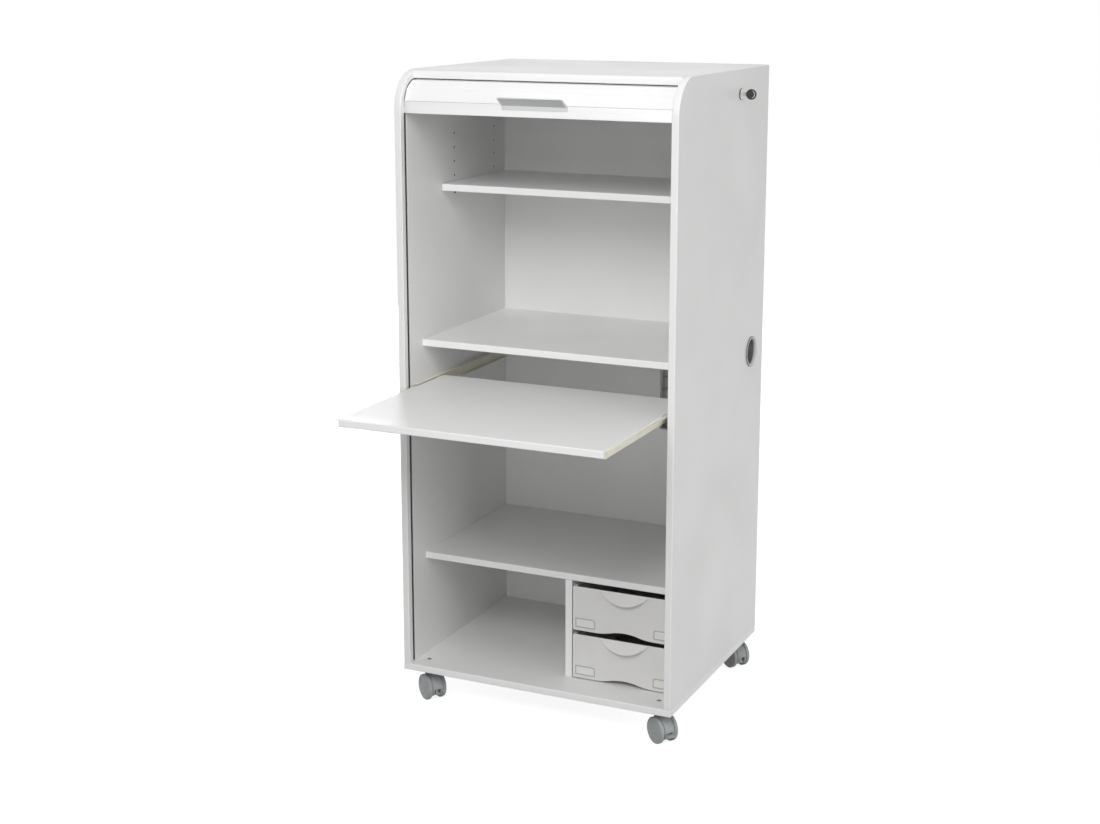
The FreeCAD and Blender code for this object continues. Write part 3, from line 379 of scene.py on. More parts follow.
def makeFloorDust():
    # grey dust that gathers on what is near the floor
    tree, given, out = startGroup("floorDust", {"Reach": "Float"}, {"Dust": "Float"})
    near = ramp(tree, maths(tree, "DIVIDE", axisOf(tree, "Z"), given["Reach"]), 1.0, 0.0)
    patches = ramp(tree, noise(tree, spotOn(tree), dust["scale"], dust["detail"]), *dust["patches"])
    tree.links.new(maths(tree, "MULTIPLY", near, patches), out["Dust"])
    return tree


# dark and pale are the routed chipboard core, painted much darker than bare chipboard: partly its own
# colour, partly painted shade in the groove
routing = {"turn": 0.084, "skin": 0.0004, "edging": 0.0015, "lip": 0.0017, "lipReach": 0.04, "chips": 420.0,
           "dark": (0.075, 0.067, 0.058), "pale": (0.17, 0.15, 0.125)}


def makeRoutedCore():
    # where a cutter has gone into a side panel: inside its thickness and away from its outline
    limits = ("Inner", "Outer", "Turn Y", "Turn Z", "Reach", "Rear", "Lip", "Lip Y")
    tree, given, out = startGroup("routedCore", dict.fromkeys(limits, "Float"),
                                  {"Core": "Float", "Chips": "Float"})
    spot = spotOn(tree)
    place = put(tree, "ShaderNodeSeparateXYZ", {"Vector": spot}).outputs
    side = maths(tree, "ABSOLUTE", place["X"])
    lip = maths(tree, "MULTIPLY", maths(tree, "LESS_THAN", place["Y"], given["Lip Y"]), given["Lip"])
    inner = maths(tree, "GREATER_THAN", side, maths(tree, "ADD", given["Inner"], lip))
    within = maths(tree, "MULTIPLY", inner, maths(tree, "LESS_THAN", side, given["Outer"]))
    ahead = maths(tree, "MINIMUM", maths(tree, "SUBTRACT", place["Y"], given["Turn Y"]), 0.0)
    above = maths(tree, "MAXIMUM", maths(tree, "SUBTRACT", place["Z"], given["Turn Z"]), 0.0)
    arm = put(tree, "ShaderNodeCombineXYZ", {"Y": ahead, "Z": above}).outputs["Vector"]
    inside = maths(tree, "LESS_THAN", vectors(tree, "LENGTH", arm, out="Value"), given["Reach"])
    clear = maths(tree, "MULTIPLY", inside, maths(tree, "LESS_THAN", place["Y"], given["Rear"]))
    chips = put(tree, "ShaderNodeTexVoronoi", {"Vector": spot, "Scale": routing["chips"]}).outputs["Color"]
    tree.links.new(maths(tree, "MULTIPLY", within, clear), out["Core"])
    tree.links.new(put(tree, "ShaderNodeSeparateColor", {"Color": chips}).outputs["Red"], out["Chips"])
    return tree


turning = {"fade": (1.0, 0.3)}


def makeTurnedRing():
    # how far a point lies from an axis, and a ring about it that is strongest at its radius
    inputs = {"Centre": "Vector", "Across": "Vector", "Radius": "Float", "Width": "Float"}
    tree, given, out = startGroup("turnedRing", inputs, {"Ring": "Float", "Away": "Float"})
    arm = vectors(tree, "SUBTRACT", spotOn(tree), given["Centre"])
    away = vectors(tree, "LENGTH", vectors(tree, "MULTIPLY", arm, given["Across"]), out="Value")
    apart = maths(tree, "ABSOLUTE", maths(tree, "SUBTRACT", away, given["Radius"]))
    tree.links.new(ramp(tree, maths(tree, "DIVIDE", apart, given["Width"]), *turning["fade"]), out["Ring"])
    tree.links.new(away, out["Away"])
    return tree


groups = {"pebble": makePebble(), "edge": makeEdgeTouch(), "band": makeEdgeBand(), "strokes": makeStrokes(),
          "dust": makeFloorDust(), "routed": makeRoutedCore(), "ring": makeTurnedRing()}
print("shader groups ready:", ", ".join(sorted(groups)))


# materials

def useGroup(tree, name, **values):
    made = put(tree, "ShaderNodeGroup", node_tree=groups[name])
    for key, value in values.items():
        made.inputs[key.replace("_", " ")].default_value = value
    return made.outputs


def shade(colour, factor=1.0):
    return (colour[0] * factor, colour[1] * factor, colour[2] * factor, 1.0)


def startMaterial(name, sockets):
    material = bpy.data.materials.new(name)
    material.use_nodes = True
    inputs = material.node_tree.nodes["Principled BSDF"].inputs
    for key, value in sockets.items():
        inputs[key].default_value = value
    return material, material.node_tree, inputs


def uneven(tree, amount, colour, variation):
    return blendColour(tree, amount, shade(colour), shade(colour, variation))


def startSurface(name, look):
    # a tint made uneven by pressed pebbles, or by drawn strokes where the look has a stretch
    material, tree, inputs = startMaterial(name, look["sockets"])
    if "stretch" in look:
        drawn = useGroup(tree, "strokes", Stretch=look["stretch"])
        height, cloud = drawn["Height"], drawn["Streak"]
    else:
        skin = useGroup(tree, "pebble", Grain=look["grain"], Cloud=look["cloud"])
        height, cloud = skin["Height"], skin["Cloudiness"]
    edge = useGroup(tree, "edge", Radius=look["edgeRadius"], Breaks=look["breaks"])
    return {"material": material, "tree": tree, "inputs": inputs, "height": height, "cloud": cloud,
            "edge": edge, "tint": uneven(tree, cloud, look["colour"], look["variation"])}


def worn(made, amount, tint, rubbed):
    # a tint that gives way to another along the edges
    wear = maths(made["tree"], "MULTIPLY", made["edge"]["Wear"], amount)
    return blendColour(made["tree"], wear, tint, rubbed)


def paintedShadeRings(made, look, tint):
    # dark rings of painted shade turned round an axis along X, where a rim or a gap meets the face
    tree = made["tree"]
    for radius, width in look["shadeRings"]:
        ring = useGroup(tree, "ring", Centre=look["centre"], Across=(0, 1, 1), Radius=radius, Width=width)
        share = maths(tree, "MULTIPLY", ring["Ring"], look["seamAndShadeAmount"])
        tint = blendColour(tree, share, tint, shade(look["seam"]))
    return tint


def closeSurface(made, look, tint):
    tree, inputs = made["tree"], made["inputs"]
    bump = put(tree, "ShaderNodeBump", {"Height": made["height"], "Strength": look["bump"],
                                        "Distance": look["relief"], "Normal": made["edge"]["Normal"]})
    tree.links.new(tint, inputs["Base Color"])
    tree.links.new(ramp(tree, made["cloud"], 0.0, 1.0, *look["roughness"]), inputs["Roughness"])
    tree.links.new(bump.outputs["Normal"], inputs["Normal"])
    return made["material"]


boardLook = {"colour": (0.80, 0.80, 0.795), "variation": 0.975, "bandColour": (0.84, 0.84, 0.835),
             "sideBandColour": (0.79, 0.79, 0.785), "seamColour": (0.50, 0.49, 0.47), "seamAndShadeAmount": 0.35,
             "wear": 0.25, "wearLight": 1.2, "roughness": (0.36, 0.46), "grain": 1300.0, "cloud": 5.0,
             "edgeRadius": 0.0009, "breaks": 45.0, "bump": 0.25, "relief": 0.00006,
             "sockets": {"Specular IOR Level": 0.45}}
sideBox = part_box("right_side_panel")


def makeBoard(name, faceAxis, routed=False):
    look = boardLook
    made = startSurface(name, look)
    tree = made["tree"]
    band = useGroup(tree, "band", Face_Axis=faceAxis)
    edging = look["sideBandColour" if routed else "bandColour"]
    tint = blendColour(tree, band["Band"], made["tint"], shade(edging))
    seam = maths(tree, "MULTIPLY", band["Seam"], look["seamAndShadeAmount"])
    tint = blendColour(tree, seam, tint, shade(look["seamColour"]))
    tint = worn(made, look["wear"], tint, shade(look["seamColour"], look["wearLight"]))
    if routed:
        low, high, turn = sideBox[0], sideBox[1], routing["turn"]
        core = useGroup(tree, "routed", Inner=low.x + routing["skin"], Outer=high.x - routing["skin"],
                        Turn_Y=low.y + turn, Turn_Z=high.z - turn, Reach=turn - routing["edging"],
                        Rear=high.y - routing["edging"], Lip=routing["lip"],
                        Lip_Y=low.y + routing["lipReach"])
        # the cut core shows in the groove, darkened as painted shade
        chips = blendColour(tree, core["Chips"], shade(routing["dark"]), shade(routing["pale"]))
        tint = blendColour(tree, core["Core"], tint, chips)
    return closeSurface(made, look, tint)


plasticLook = {"variation": 0.94, "grain": 1600.0, "cloud": 22.0, "edgeRadius": 0.0006, "breaks": 120.0,
               "wear": 0.5, "edgeLight": 1.15, "bump": 0.35, "relief": 0.00005, "dust": 0.0,
               "dustReach": 0.06, "dustColour": (0.52, 0.51, 0.49), "endGap": None,
               "sockets": {"Specular IOR Level": 0.5}}


def makePlastic(name, **own):
    look = {**plasticLook, **own}
    made = startSurface(name, look)
    tree, colour, gap = made["tree"], look["colour"], look["endGap"]
    tint = worn(made, look["wear"], made["tint"], shade(colour, look["edgeLight"]))
    if look["dust"]:
        near = useGroup(tree, "dust", Reach=look["dustReach"])["Dust"]
        share = maths(tree, "MULTIPLY", near, look["dust"])
        tint = blendColour(tree, share, tint, shade(look["dustColour"]))
    if gap:
        # the last stretch before the side panels is painted darker: painted shade of the gap between the
        # slats and the panels
        start = sideBox[0].x - gap["width"]
        endShadeMask = ramp(tree, maths(tree, "ABSOLUTE", axisOf(tree, "X")), start, start + gap["fade"])
        tint = blendColour(tree, endShadeMask, tint, shade(colour, gap["dark"]))
    return closeSurface(made, look, tint)


metalLook = {"variation": 0.86, "edgeRadius": 0.0005, "breaks": 150.0, "wear": 0.5, "edgeLight": 1.2,
             "bump": 0.3, "relief": 0.00003, "sockets": {"Metallic": 1.0}}


def makeMetal(name, **own):
    look = {**metalLook, **own}
    made = startSurface(name, look)
    rubbed = shade(look["colour"], look["edgeLight"])
    return closeSurface(made, look, worn(made, look["wear"], made["tint"], rubbed))


enamelLook = {"colour": (0.78, 0.76, 0.62), "variation": 0.95, "bare": (0.45, 0.44, 0.42), "wear": 1.0,
              "roughness": (0.3, 0.4), "grain": 420.0, "cloud": 30.0, "edgeRadius": 0.0005, "breaks": 200.0,
              "bump": 0.3, "relief": 0.00008, "sockets": {"Coat Weight": 0.25, "Coat Roughness": 0.25}}


def makeEnamel(name):
    # epoxy coat on rolled steel, rubbed to the metal here and there along its edges
    look = enamelLook
    made = startSurface(name, look)
    return closeSurface(made, look, worn(made, look["wear"], made["tint"], shade(look["bare"])))


keyLook = {"bowRadius": 0.0115, "play": 0.0002, "colour": (0.54, 0.535, 0.52), "variation": 0.9,
           "bow": (0.022, 0.022, 0.023), "bowLight": 2.2, "wear": 1.0, "roughness": (0.24, 0.36),
           "grain": 1600.0, "cloud": 60.0, "edgeRadius": 0.0004, "breaks": 200.0, "bump": 0.2,
           "relief": 0.00003, "sockets": {"Specular IOR Level": 0.5}}


def makeKey(name):
    # plastic bow moulded on a plated blade
    look, box = keyLook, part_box("lock_key")
    made = startSurface(name, look)
    tree = made["tree"]
    centre = (box[1].x - look["bowRadius"], 0, middleOf(box).z)
    away = useGroup(tree, "ring", Centre=centre, Across=(1, 0, 1))["Away"]
    bow = maths(tree, "LESS_THAN", away, look["bowRadius"] + look["play"])
    moulded = worn(made, look["wear"], shade(look["bow"]), shade(look["bow"], look["bowLight"]))
    tree.links.new(maths(tree, "SUBTRACT", 1.0, bow), made["inputs"]["Metallic"])
    return closeSurface(made, look, blendColour(tree, bow, made["tint"], moulded))


# seam is the colour of the rings of painted shade
lockLook = {**metalLook, "centre": middleOf(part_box("lock_housing")), "colour": (0.72, 0.71, 0.69),
            "variation": 0.88, "stretch": (60.0, 60.0, 60.0), "roughness": (0.16, 0.26), "bump": 0.2,
            "relief": 0.00001, "seam": (0.03, 0.03, 0.03), "seamAndShadeAmount": 0.9,
            "shadeRings": ((0.0117, 0.0012), (0.0061, 0.0008))}


def makeLockFace(name):
    # plated face with rings of painted shade round the rosette and the plug
    made = startSurface(name, lockLook)
    return closeSurface(made, lockLook, paintedShadeRings(made, lockLook, made["tint"]))


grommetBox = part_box("cable_grommet")
grommetLook = {**plasticLook, "centre": middleOf(grommetBox), "lip": 0.0045, "throatFade": 1.3,
               "colour": (0.72, 0.72, 0.72), "variation": 0.95, "throatShade": (0.17, 0.17, 0.17),
               "roughness": (0.34, 0.44), "seam": (0.10, 0.10, 0.10), "seamAndShadeAmount": 0.85,
               "shadeRings": ((0.0342, 0.0022),)}


def makeGrommet(name):
    # pale lip between a dark outer band and a dark throat, both painted shade: where the flange meets the
    # panel, and down the bore
    look, face = grommetLook, grommetBox[1].x
    made = startSurface(name, look)
    tree = made["tree"]
    # the bore is painted darker with depth, as painted shade
    throatShade = ramp(tree, axisOf(tree, "X"), face - look["lip"], face - look["lip"] * look["throatFade"])
    tint = paintedShadeRings(made, look, made["tint"])
    return closeSurface(made, look, blendColour(tree, throatShade, tint, shade(look["throatShade"])))


labelLook = {**plasticLook, "step": 0.0005, "colour": (0.74, 0.735, 0.72), "variation": 0.985,
             "edgeRadius": 0.0004, "rim": (0.44, 0.437, 0.43), "rimVariation": 0.97,
             "roughness": (0.34, 0.44)}


def makeLabel(name):
    # card holder whose raised rim is painted darker than its sunk middle, as painted shade at the step
    # between them
    look, face = labelLook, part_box("upper_label_holders")[0].y
    made = startSurface(name, look)
    tree = made["tree"]
    middle = maths(tree, "GREATER_THAN", axisOf(tree, "Y"), face + look["step"])
    # the rim's dark tone is painted shade
    rim = uneven(tree, made["cloud"], look["rim"], look["rimVariation"])
    return closeSurface(made, look, blendColour(tree, middle, rim, made["tint"]))


beechLook = {"colour": (0.60, 0.42, 0.24), "variation": 0.7, "stretch": (30.0, 700.0, 700.0),
             "sockets": {"Roughness": 0.6}}


def makeBeech(name):
    material, tree, inputs = startMaterial(name, beechLook["sockets"])
    streak = useGroup(tree, "strokes", Stretch=beechLook["stretch"])["Streak"]
    tree.links.new(uneven(tree, streak, beechLook["colour"], beechLook["variation"]), inputs["Base Color"])
    return material


looks = {
    "boardX": makeBoard("melamineUpright", (1, 0, 0)),
    "sideBoard": makeBoard("melamineSide", (1, 0, 0), routed=True),
    "boardY": makeBoard("melamineBack", (0, 1, 0)),
    "boardZ": makeBoard("melamineLevel", (0, 0, 1)),
    # the slats' ends carry painted shade where they run into the side panels' gap
    "slat": makePlastic("slatPlastic", colour=(0.85, 0.85, 0.847), roughness=(0.34, 0.44), variation=0.985,
                        edgeLight=1.0, endGap={"width": 0.0014, "fade": 0.0006, "dark": 0.25}),
    "bar": makeMetal("barAluminium", colour=(0.69, 0.69, 0.69), roughness=(0.42, 0.54), variation=0.975,
                     stretch=(3.0, 700.0, 700.0), relief=0.000004),
    "handle": makeMetal("handleAluminium", colour=(0.58, 0.585, 0.59), roughness=(0.36, 0.48),
                        variation=0.93, stretch=(3.0, 900.0, 900.0), relief=0.000006),
    "handleEnd": makePlastic("handleEndPlastic", colour=(0.70, 0.70, 0.70), roughness=(0.35, 0.45)),
    "rail": makeEnamel("railEnamel"),
    "zinc": makeMetal("zincSteel", colour=(0.62, 0.62, 0.60), roughness=(0.34, 0.46),
                      stretch=(160.0, 160.0, 160.0)),
    "nylon": makePlastic("rollerNylon", colour=(0.80, 0.80, 0.76), roughness=(0.42, 0.52)),
    "drawer": makePlastic("drawerPlastic", colour=(0.71, 0.705, 0.688), roughness=(0.38, 0.48),
                          variation=0.985, edgeLight=1.04),
    "label": makeLabel("labelPlastic"),
    "caster": makePlastic("casterPlastic", colour=(0.335, 0.35, 0.358), roughness=(0.46, 0.56), dust=0.25),
    "wheel": makePlastic("wheelPlastic", colour=(0.32, 0.335, 0.343), roughness=(0.5, 0.6), dust=0.45),
    "black": makePlastic("blackPlastic", colour=(0.016, 0.016, 0.017), roughness=(0.32, 0.42),
                         edgeLight=1.6),
    "key": makeKey("keyBowAndBlade"),
    "nickel": makeLockFace("nickelPlate"),
    "grommet": makeGrommet("grommetPlastic"),
    "beech": makeBeech("beechDowel"),
}
print("materials ready:", len(looks))

nodeLooks = {
    "sideBoard": ("left_side_panel", "right_side_panel"),
    "boardX": ("lower_divider",),
    "boardY": ("back_panel", "upper_inner_back", "desk_inner_back", "lower_inner_back"),
    "boardZ": ("bottom_panel", "top_panel", "printer_shelf", "file_shelf", "upper_shelf", "desk_top"),
    "beech": ("board_dowels",),
    "zinc": ("base_screws", "cabinet_rail_screws", "desk_rail_screws", "caster_stems", "caster_inserts",
             "lock_cam", *(f"{word}_caster_axle" for word in casterWords)),
    "rail": ("left_cabinet_rail", "right_cabinet_rail", "left_desk_rail", "right_desk_rail"),
    "nylon": ("left_front_roller", "right_front_roller", "left_rear_roller", "right_rear_roller"),
    "slat": ("shutter_slats",),
    "bar": ("shutter_bar",),
    "handle": ("shutter_handle",),
    "drawer": ("upper_drawer", "lower_drawer", "drawer_rails"),
    "label": ("upper_label_holders", "lower_label_holders"),
    "caster": (*(f"{word}_caster_hood" for word in casterWords), "front_right_brake_lever",
               "rear_left_brake_lever"),
    "wheel": tuple(f"{word}_{side}_wheel" for word in casterWords for side in ("near", "far")),
    "nickel": ("lock_housing", "lock_plug"),
    "key": ("lock_key",),
    "black": ("shelf_pins",),
    "grommet": ("cable_grommet",),
}
for look, names in nodeLooks.items():
    for name in names:
        nodes[name].data.materials.clear()
        nodes[name].data.materials.append(looks[look])
print("CAD nodes finished")


# geometry node trees

def startTree(name, inputs):
    flow = {"Geometry": "Geometry"}
    return startGroup(name, {**flow, **inputs}, flow, "GeometryNodeTree")


def setDown(tree, out, points, source, way, finish):
    # instances of one object on points, realized and given their material
    shape = put(tree, "GeometryNodeObjectInfo", {"Object": source, "As Instance": True}).outputs["Geometry"]
    laid = put(tree, "GeometryNodeInstanceOnPoints", {"Points": points, "Instance": shape,
                                                      "Rotation": way.outputs["Rotation"]})
    solid = put(tree, "GeometryNodeRealizeInstances", {"Geometry": laid.outputs["Instances"]})
    done = put(tree, "GeometryNodeSetMaterial", {"Geometry": solid.outputs["Geometry"], "Material": finish})
    tree.links.new(done.outputs["Geometry"], out["Geometry"])


def makeSlatTree():
    inputs = {"Slat": "Object", "Joints": "Int", "Finish": "Material"}
    tree, given, out = startTree("slatsAlongTrack", inputs)
    curve = put(tree, "GeometryNodeMeshToCurve", {"Mesh": given["Geometry"]}).outputs["Curve"]
    even = put(tree, "GeometryNodeResampleCurve", {"Curve": curve, "Count": given["Joints"]})
    wire = put(tree, "GeometryNodeCurveToMesh", {"Curve": even.outputs["Curve"]}).outputs["Mesh"]
    ends = put(tree, "GeometryNodeInputMeshEdgeVertices").outputs
    chord = vectors(tree, "SUBTRACT", ends["Position 2"], ends["Position 1"])
    kept = put(tree, "GeometryNodeCaptureAttribute", {"Geometry": wire}, domain="EDGE")
    kept.capture_items.new("VECTOR", "Along")
    tree.links.new(chord, kept.inputs["Along"])
    spots = put(tree, "GeometryNodeMeshToPoints", {"Mesh": kept.outputs["Geometry"]}, mode="EDGES")
    way = put(tree, "FunctionNodeAlignRotationToVector", {"Vector": kept.outputs["Along"]}, axis="Z",
              pivot_axis="X")
    setDown(tree, out, spots.outputs["Points"], given["Slat"], way, given["Finish"])
    return tree


def makeScrewTree():
    tree, given, out = startTree("screwsFacing", {"Screw": "Object", "Finish": "Material"})
    spots = put(tree, "GeometryNodeMeshToPoints", {"Mesh": given["Geometry"]})
    facing = put(tree, "GeometryNodeInputNamedAttribute", {"Name": "facing"}, data_type="FLOAT_VECTOR")
    way = put(tree, "FunctionNodeAlignRotationToVector", {"Vector": facing.outputs["Attribute"]}, axis="Z")
    setDown(tree, out, spots.outputs["Points"], given["Screw"], way, given["Finish"])
    return tree


def grown(name, mesh, tree, **values):
    piece = newPiece(name, mesh)
    run = piece.modifiers.new("Grow", "NODES")
    run.node_group = tree
    for label, value in values.items():
        run[tree.interface.items_tree[label].identifier] = value
    return plainMesh(piece)


# the roller shutter: slats kept in the track, and a run of slats packed into the bar's pocket

slats = {"count": 48, "pitch": 0.028, "gap": 0.0008, "thick": 0.007, "bevel": 0.003, "bend": 0.0525,
         "crown": 0.0003, "dipShare": 0.25, "corner": 0.0015, "backCorner": 0.0007, "bendSteps": 32,
         "smoothDeg": 20, "travel": 0.6, "runCount": 22, "runInset": 0.0027, "pocketLow": 0.006,
         "pocketInset": 0.0002, "halvings": 50}
barBox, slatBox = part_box("shutter_bar"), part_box("shutter_slats")


def slatSection(pitch, thick):
    # (inwards, along) about the middle of the outer face, which is a little crowned
    half = (pitch - slats["gap"]) / 2
    low, dip, flank = slats["crown"], slats["crown"] * slats["dipShare"], half - slats["bevel"]
    return roundCorners([(low, -half, slats["corner"]), (thick / 2, -half, 0),
                         (thick, -flank, slats["backCorner"]), (thick, flank, slats["backCorner"]),
                         (thick / 2, half, 0), (low, half, slats["corner"]),
                         (dip, half / 2, 0), (0, 0, 0), (dip, -half / 2, 0)])


def trackLine():
    # the front bend, the way over the top, the rear bend and the drop behind it
    bend, steps, crest = slats["bend"], slats["bendSteps"], math.pi / 2
    frontY, rearY, centreZ = barBox[0].y + bend, slatBox[1].y - bend, slatBox[1].z - bend
    first = math.asin((barBox[1].z + slats["gap"] - centreZ) / bend)
    line = []
    for centreY, side, start, end in ((frontY, -bend, first, crest), (rearY, bend, crest, 0)):
        for step in range(steps + 1):
            turn = start + (end - start) * step / steps
            line.append((0, centreY + side * math.cos(turn), centreZ + bend * math.sin(turn)))
    spent = bend * (math.pi - first) + rearY - frontY
    line.append((0, slatBox[1].y, centreZ - (slats["count"] * slats["pitch"] - spent)))
    mesh = bpy.data.meshes.new("track_line")
    mesh.from_pydata(line, [(i, i + 1) for i in range(len(line) - 1)], [])
    return mesh


slatShape = prism(slatSection(slats["pitch"], slats["thick"]), slatBox[0].x, slatBox[1].x)
slatSource = newPiece("slat_source", meshFrom(slatShape, "slat_source", slats["smoothDeg"]))
storedSlats = grown("stored_slats", trackLine(), makeSlatTree(), Slat=slatSource, Joints=slats["count"] + 1,
                    Finish=looks["slat"])
bpy.data.objects.remove(slatSource)
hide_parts("shutter_slats")
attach(storedSlats, "cabinet")
print("stored slats:", len(storedSlats.data.polygons), "faces")


def pocketHeight(lowered, top, pocket):
    # height inside the bar's pocket that the smoothstep drop in the loop below lowers to the wanted height
    low, high = 0.0, 1.0
    for _ in range(slats["halvings"]):
        share = (low + high) / 2
        if top - share * pocket - slats["travel"] * share * share * (3 - 2 * share) > lowered:
            low = share
        else:
            high = share
    return top - (low + high) / 2 * pocket


def makeRun():
    top, bottom = barBox[1].z + slats["pocketInset"], barBox[0].z + slats["pocketLow"]
    face = barBox[0].y + slats["runInset"]
    pitch = (top - bottom + slats["travel"]) / slats["runCount"]
    section = slatSection(pitch, barBox[1].y - face)
    parts = []
    for number in range(slats["runCount"]):
        middle = top - pitch * (number + 0.5)
        outline = [(face + inwards, middle + along) for inwards, along in section]
        parts.append(prism(outline, slatBox[0].x, slatBox[1].x))
    run = newPiece("shutter_run", meshFrom(joined(parts), "shutter_run", slats["smoothDeg"]))
    for vertex in run.data.vertices:
        vertex.co.z = pocketHeight(vertex.co.z, top, top - bottom)
    run.data.materials.append(looks["slat"])
    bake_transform(run)
    return run


shutterRun = makeRun()
print("shutter run:", len(shutterRun.data.polygons), "faces")


# pull handle: a bent aluminium blade between two moulded ends

handle = {"wall": 0.0025, "root": 0.011, "reach": 0.026, "rise": 0.017, "tip": 0.001, "bendRound": 0.003,
          "rootRound": 0.0008, "cap": 0.0035, "capGrow": 0.0004}


def handlePart(name, grow, low, high):
    face, top, wall, root = barBox[0].y, barBox[1].z, handle["wall"], handle["root"]
    lean = math.hypot(handle["reach"], handle["rise"])
    up, out = wall * handle["reach"] / lean, wall * handle["rise"] / lean
    tip = (face - handle["reach"], top + handle["rise"])
    outline = roundCorners([(face, top - root, 0), (face, top, 0), (*tip, handle["tip"]),
                            (tip[0] - out - grow, tip[1] - up - grow, handle["tip"]),
                            (face - wall - grow, top - wall - grow, handle["bendRound"]),
                            (face - wall - grow, top - root, handle["rootRound"])])
    return newPiece(name, meshFrom(prism(outline, low, high), name))


left, right = (corner.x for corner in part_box("shutter_handle"))
leftCap, rightCap = left + handle["cap"], right - handle["cap"]
finished(handlePart("handle_blade", 0, leftCap, rightCap), "handle", "shutter", "shutter_handle")
for word, low, high in (("left", left, leftCap), ("right", rightCap, right)):
    finished(handlePart(f"handle_{word}_cap", handle["capGrow"], low, high), "handleEnd", "shutter")
print("handle ready")


# wheels, turned from their profile so that the domes are smooth

wheels = {"tread": 0.030, "edge": 0.0022, "dome": 0.0014, "domeShares": (0, 0.25, 0.5, 0.75, 0.9, 1.0),
          "inner": 0.008, "step": 0.012, "outer": 0.022, "stepRadius": 0.0255, "cupRadius": 0.0215,
          "cupFloor": 0.017, "hub": 0.008, "bore": 0.0041, "boreEnd": 0.0195, "rim": 0.0245,
          "rimSink": 0.0006, "rimWidth": 0.0007, "edgeSteps": 6, "seamWide": 0.0016, "seamDeep": 0.0022,
          "seamSoft": 0.0005, "turnSteps": 96, "smoothDeg": 28, "axleDeg": -35.0}


def domeAt(radius, sink=0.0):
    # a point of the outer face, which is a shallow dome
    spread = wheels["tread"] - wheels["edge"]
    return (radius, wheels["outer"] + wheels["dome"] * (1 - (radius / spread) ** 2) - sink)


def wheelProfile():
    tread, edge, step, inner = wheels["tread"], wheels["edge"], wheels["step"], wheels["inner"]
    floor, hub, bore = wheels["cupFloor"], wheels["hub"], wheels["bore"]
    sunk = wheels["rim"] + wheels["rimWidth"]
    face = [domeAt(wheels["rim"] * share) for share in wheels["domeShares"]]
    face += [domeAt(sunk, wheels["rimSink"]), domeAt(sunk + wheels["rimWidth"])]
    shoulder = []
    for number in range(wheels["edgeSteps"] + 1):
        turn = math.pi / 2 * (1 - number / wheels["edgeSteps"])
        out, up = edge * math.cos(turn), edge * math.sin(turn)
        shoulder.append((tread - edge + out, wheels["outer"] - edge + up))
    # a rabbet leaves a seam between the tread and the hood
    seam, soft, deep = step + wheels["seamWide"], wheels["seamSoft"], tread - wheels["seamDeep"]
    shoulder += [(tread, seam + soft), (tread - soft, seam), (deep, seam), (deep, step)]
    inside = [(wheels["stepRadius"], step), (wheels["stepRadius"], inner), (wheels["cupRadius"], inner),
              (wheels["cupRadius"], floor), (hub, floor), (hub, inner), (bore, inner),
              (bore, wheels["boreEnd"]), (0, wheels["boreEnd"])]
    return face + shoulder + inside


axleTurn = Matrix.Rotation(math.radians(wheels["axleDeg"]), 4, "Z")
axleWay = axleTurn @ Vector((0, 1, 0))
wheelMesh = meshFrom(latheY(wheelProfile(), wheels["turnSteps"]), "wheel_source", wheels["smoothDeg"])
for word in casterWords:
    middle = middleOf(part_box(f"{word}_caster_axle"))
    for side in ("near", "far"):
        node = f"{word}_{side}_wheel"
        turned = axleTurn
        if (middleOf(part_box(node)) - middle).dot(axleWay) < 0:
            turned = axleTurn @ Matrix.Rotation(math.pi, 4, "Z")
        mesh = wheelMesh.copy()
        mesh.transform(Matrix.Translation(middle) @ turned)
        finished(newPiece(f"{node}_skin", mesh), "wheel", node, node)
bpy.data.meshes.remove(wheelMesh)
print("wheels ready")


# moulded and cast pieces with real rounds on their edges

rounding = {"segments": 2, "limitDeg": 35, "plain": ("drawer_rails", "lock_plug"),
            "widths": {"drawer": 0.0011, "label": 0.0004, "caster": 0.0007, "grommet": 0.0008,
                       "key": 0.0006, "nickel": 0.0005, "nylon": 0.0005}}


def softCopy(node, width):
    piece = skinOf(node, mergedCopy(node, plainFaces=True))
    edges = piece.modifiers.new("SoftEdges", "BEVEL")
    edges.width = width
    edges.segments = rounding["segments"]
    edges.limit_method = "ANGLE"
    edges.angle_limit = math.radians(rounding["limitDeg"])
    edges.use_clamp_overlap = True
    edges.harden_normals = True
    return piece


for look, width in rounding["widths"].items():
    for node in nodeLooks[look]:
        if node not in rounding["plain"]:
            finished(softCopy(node, width), look, nodes[node]["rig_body"], node)
print("rounded pieces ready")


# shelf supports: a peg in the panel and a small webbed arm under the shelf

supports = {"arm": 0.008, "half": 0.0027, "plate": 0.0025, "drop": 0.0125, "round": 0.001, "peg": 0.0025,
            "pegSteps": 24, "pitch": 0.032, "rows": 4, "near": 0.004, "holeDepth": 0.010}
pinBoxes = islands("shelf_pins")
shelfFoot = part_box("upper_shelf")[0].z
pegLevel = shelfFoot - supports["peg"]


def supportMesh():
    arm, half, peg = supports["arm"], supports["half"], supports["peg"]
    parts = []
    for box in pinBoxes:
        middle = middleOf(box)
        way = 1 if middle.x < 0 else -1
        wall = -way * sideBox[0].x
        tip = wall + way * arm
        outline = roundCorners([(wall, shelfFoot, 0), (tip, shelfFoot, supports["round"]),
                                (tip, shelfFoot - supports["plate"], supports["round"]),
                                (wall, shelfFoot - supports["drop"], 0)])
        parts.append(prism(outline, middle.y - half, middle.y + half, "y"))
        rod = latheY([(0, 0), (peg, 0), (peg, arm), (0, arm)], supports["pegSteps"])
        seat = Matrix.Translation((wall, middle.y, pegLevel)) @ Matrix.Rotation(math.pi / 2 * way, 4, "Z")
        bmesh.ops.transform(rod, matrix=seat, verts=rod.verts)
        parts.append(rod)
    return meshFrom(joined(parts), "shelf_supports")


finished(newPiece("shelf_supports", supportMesh()), "black", "cabinet", "shelf_pins")


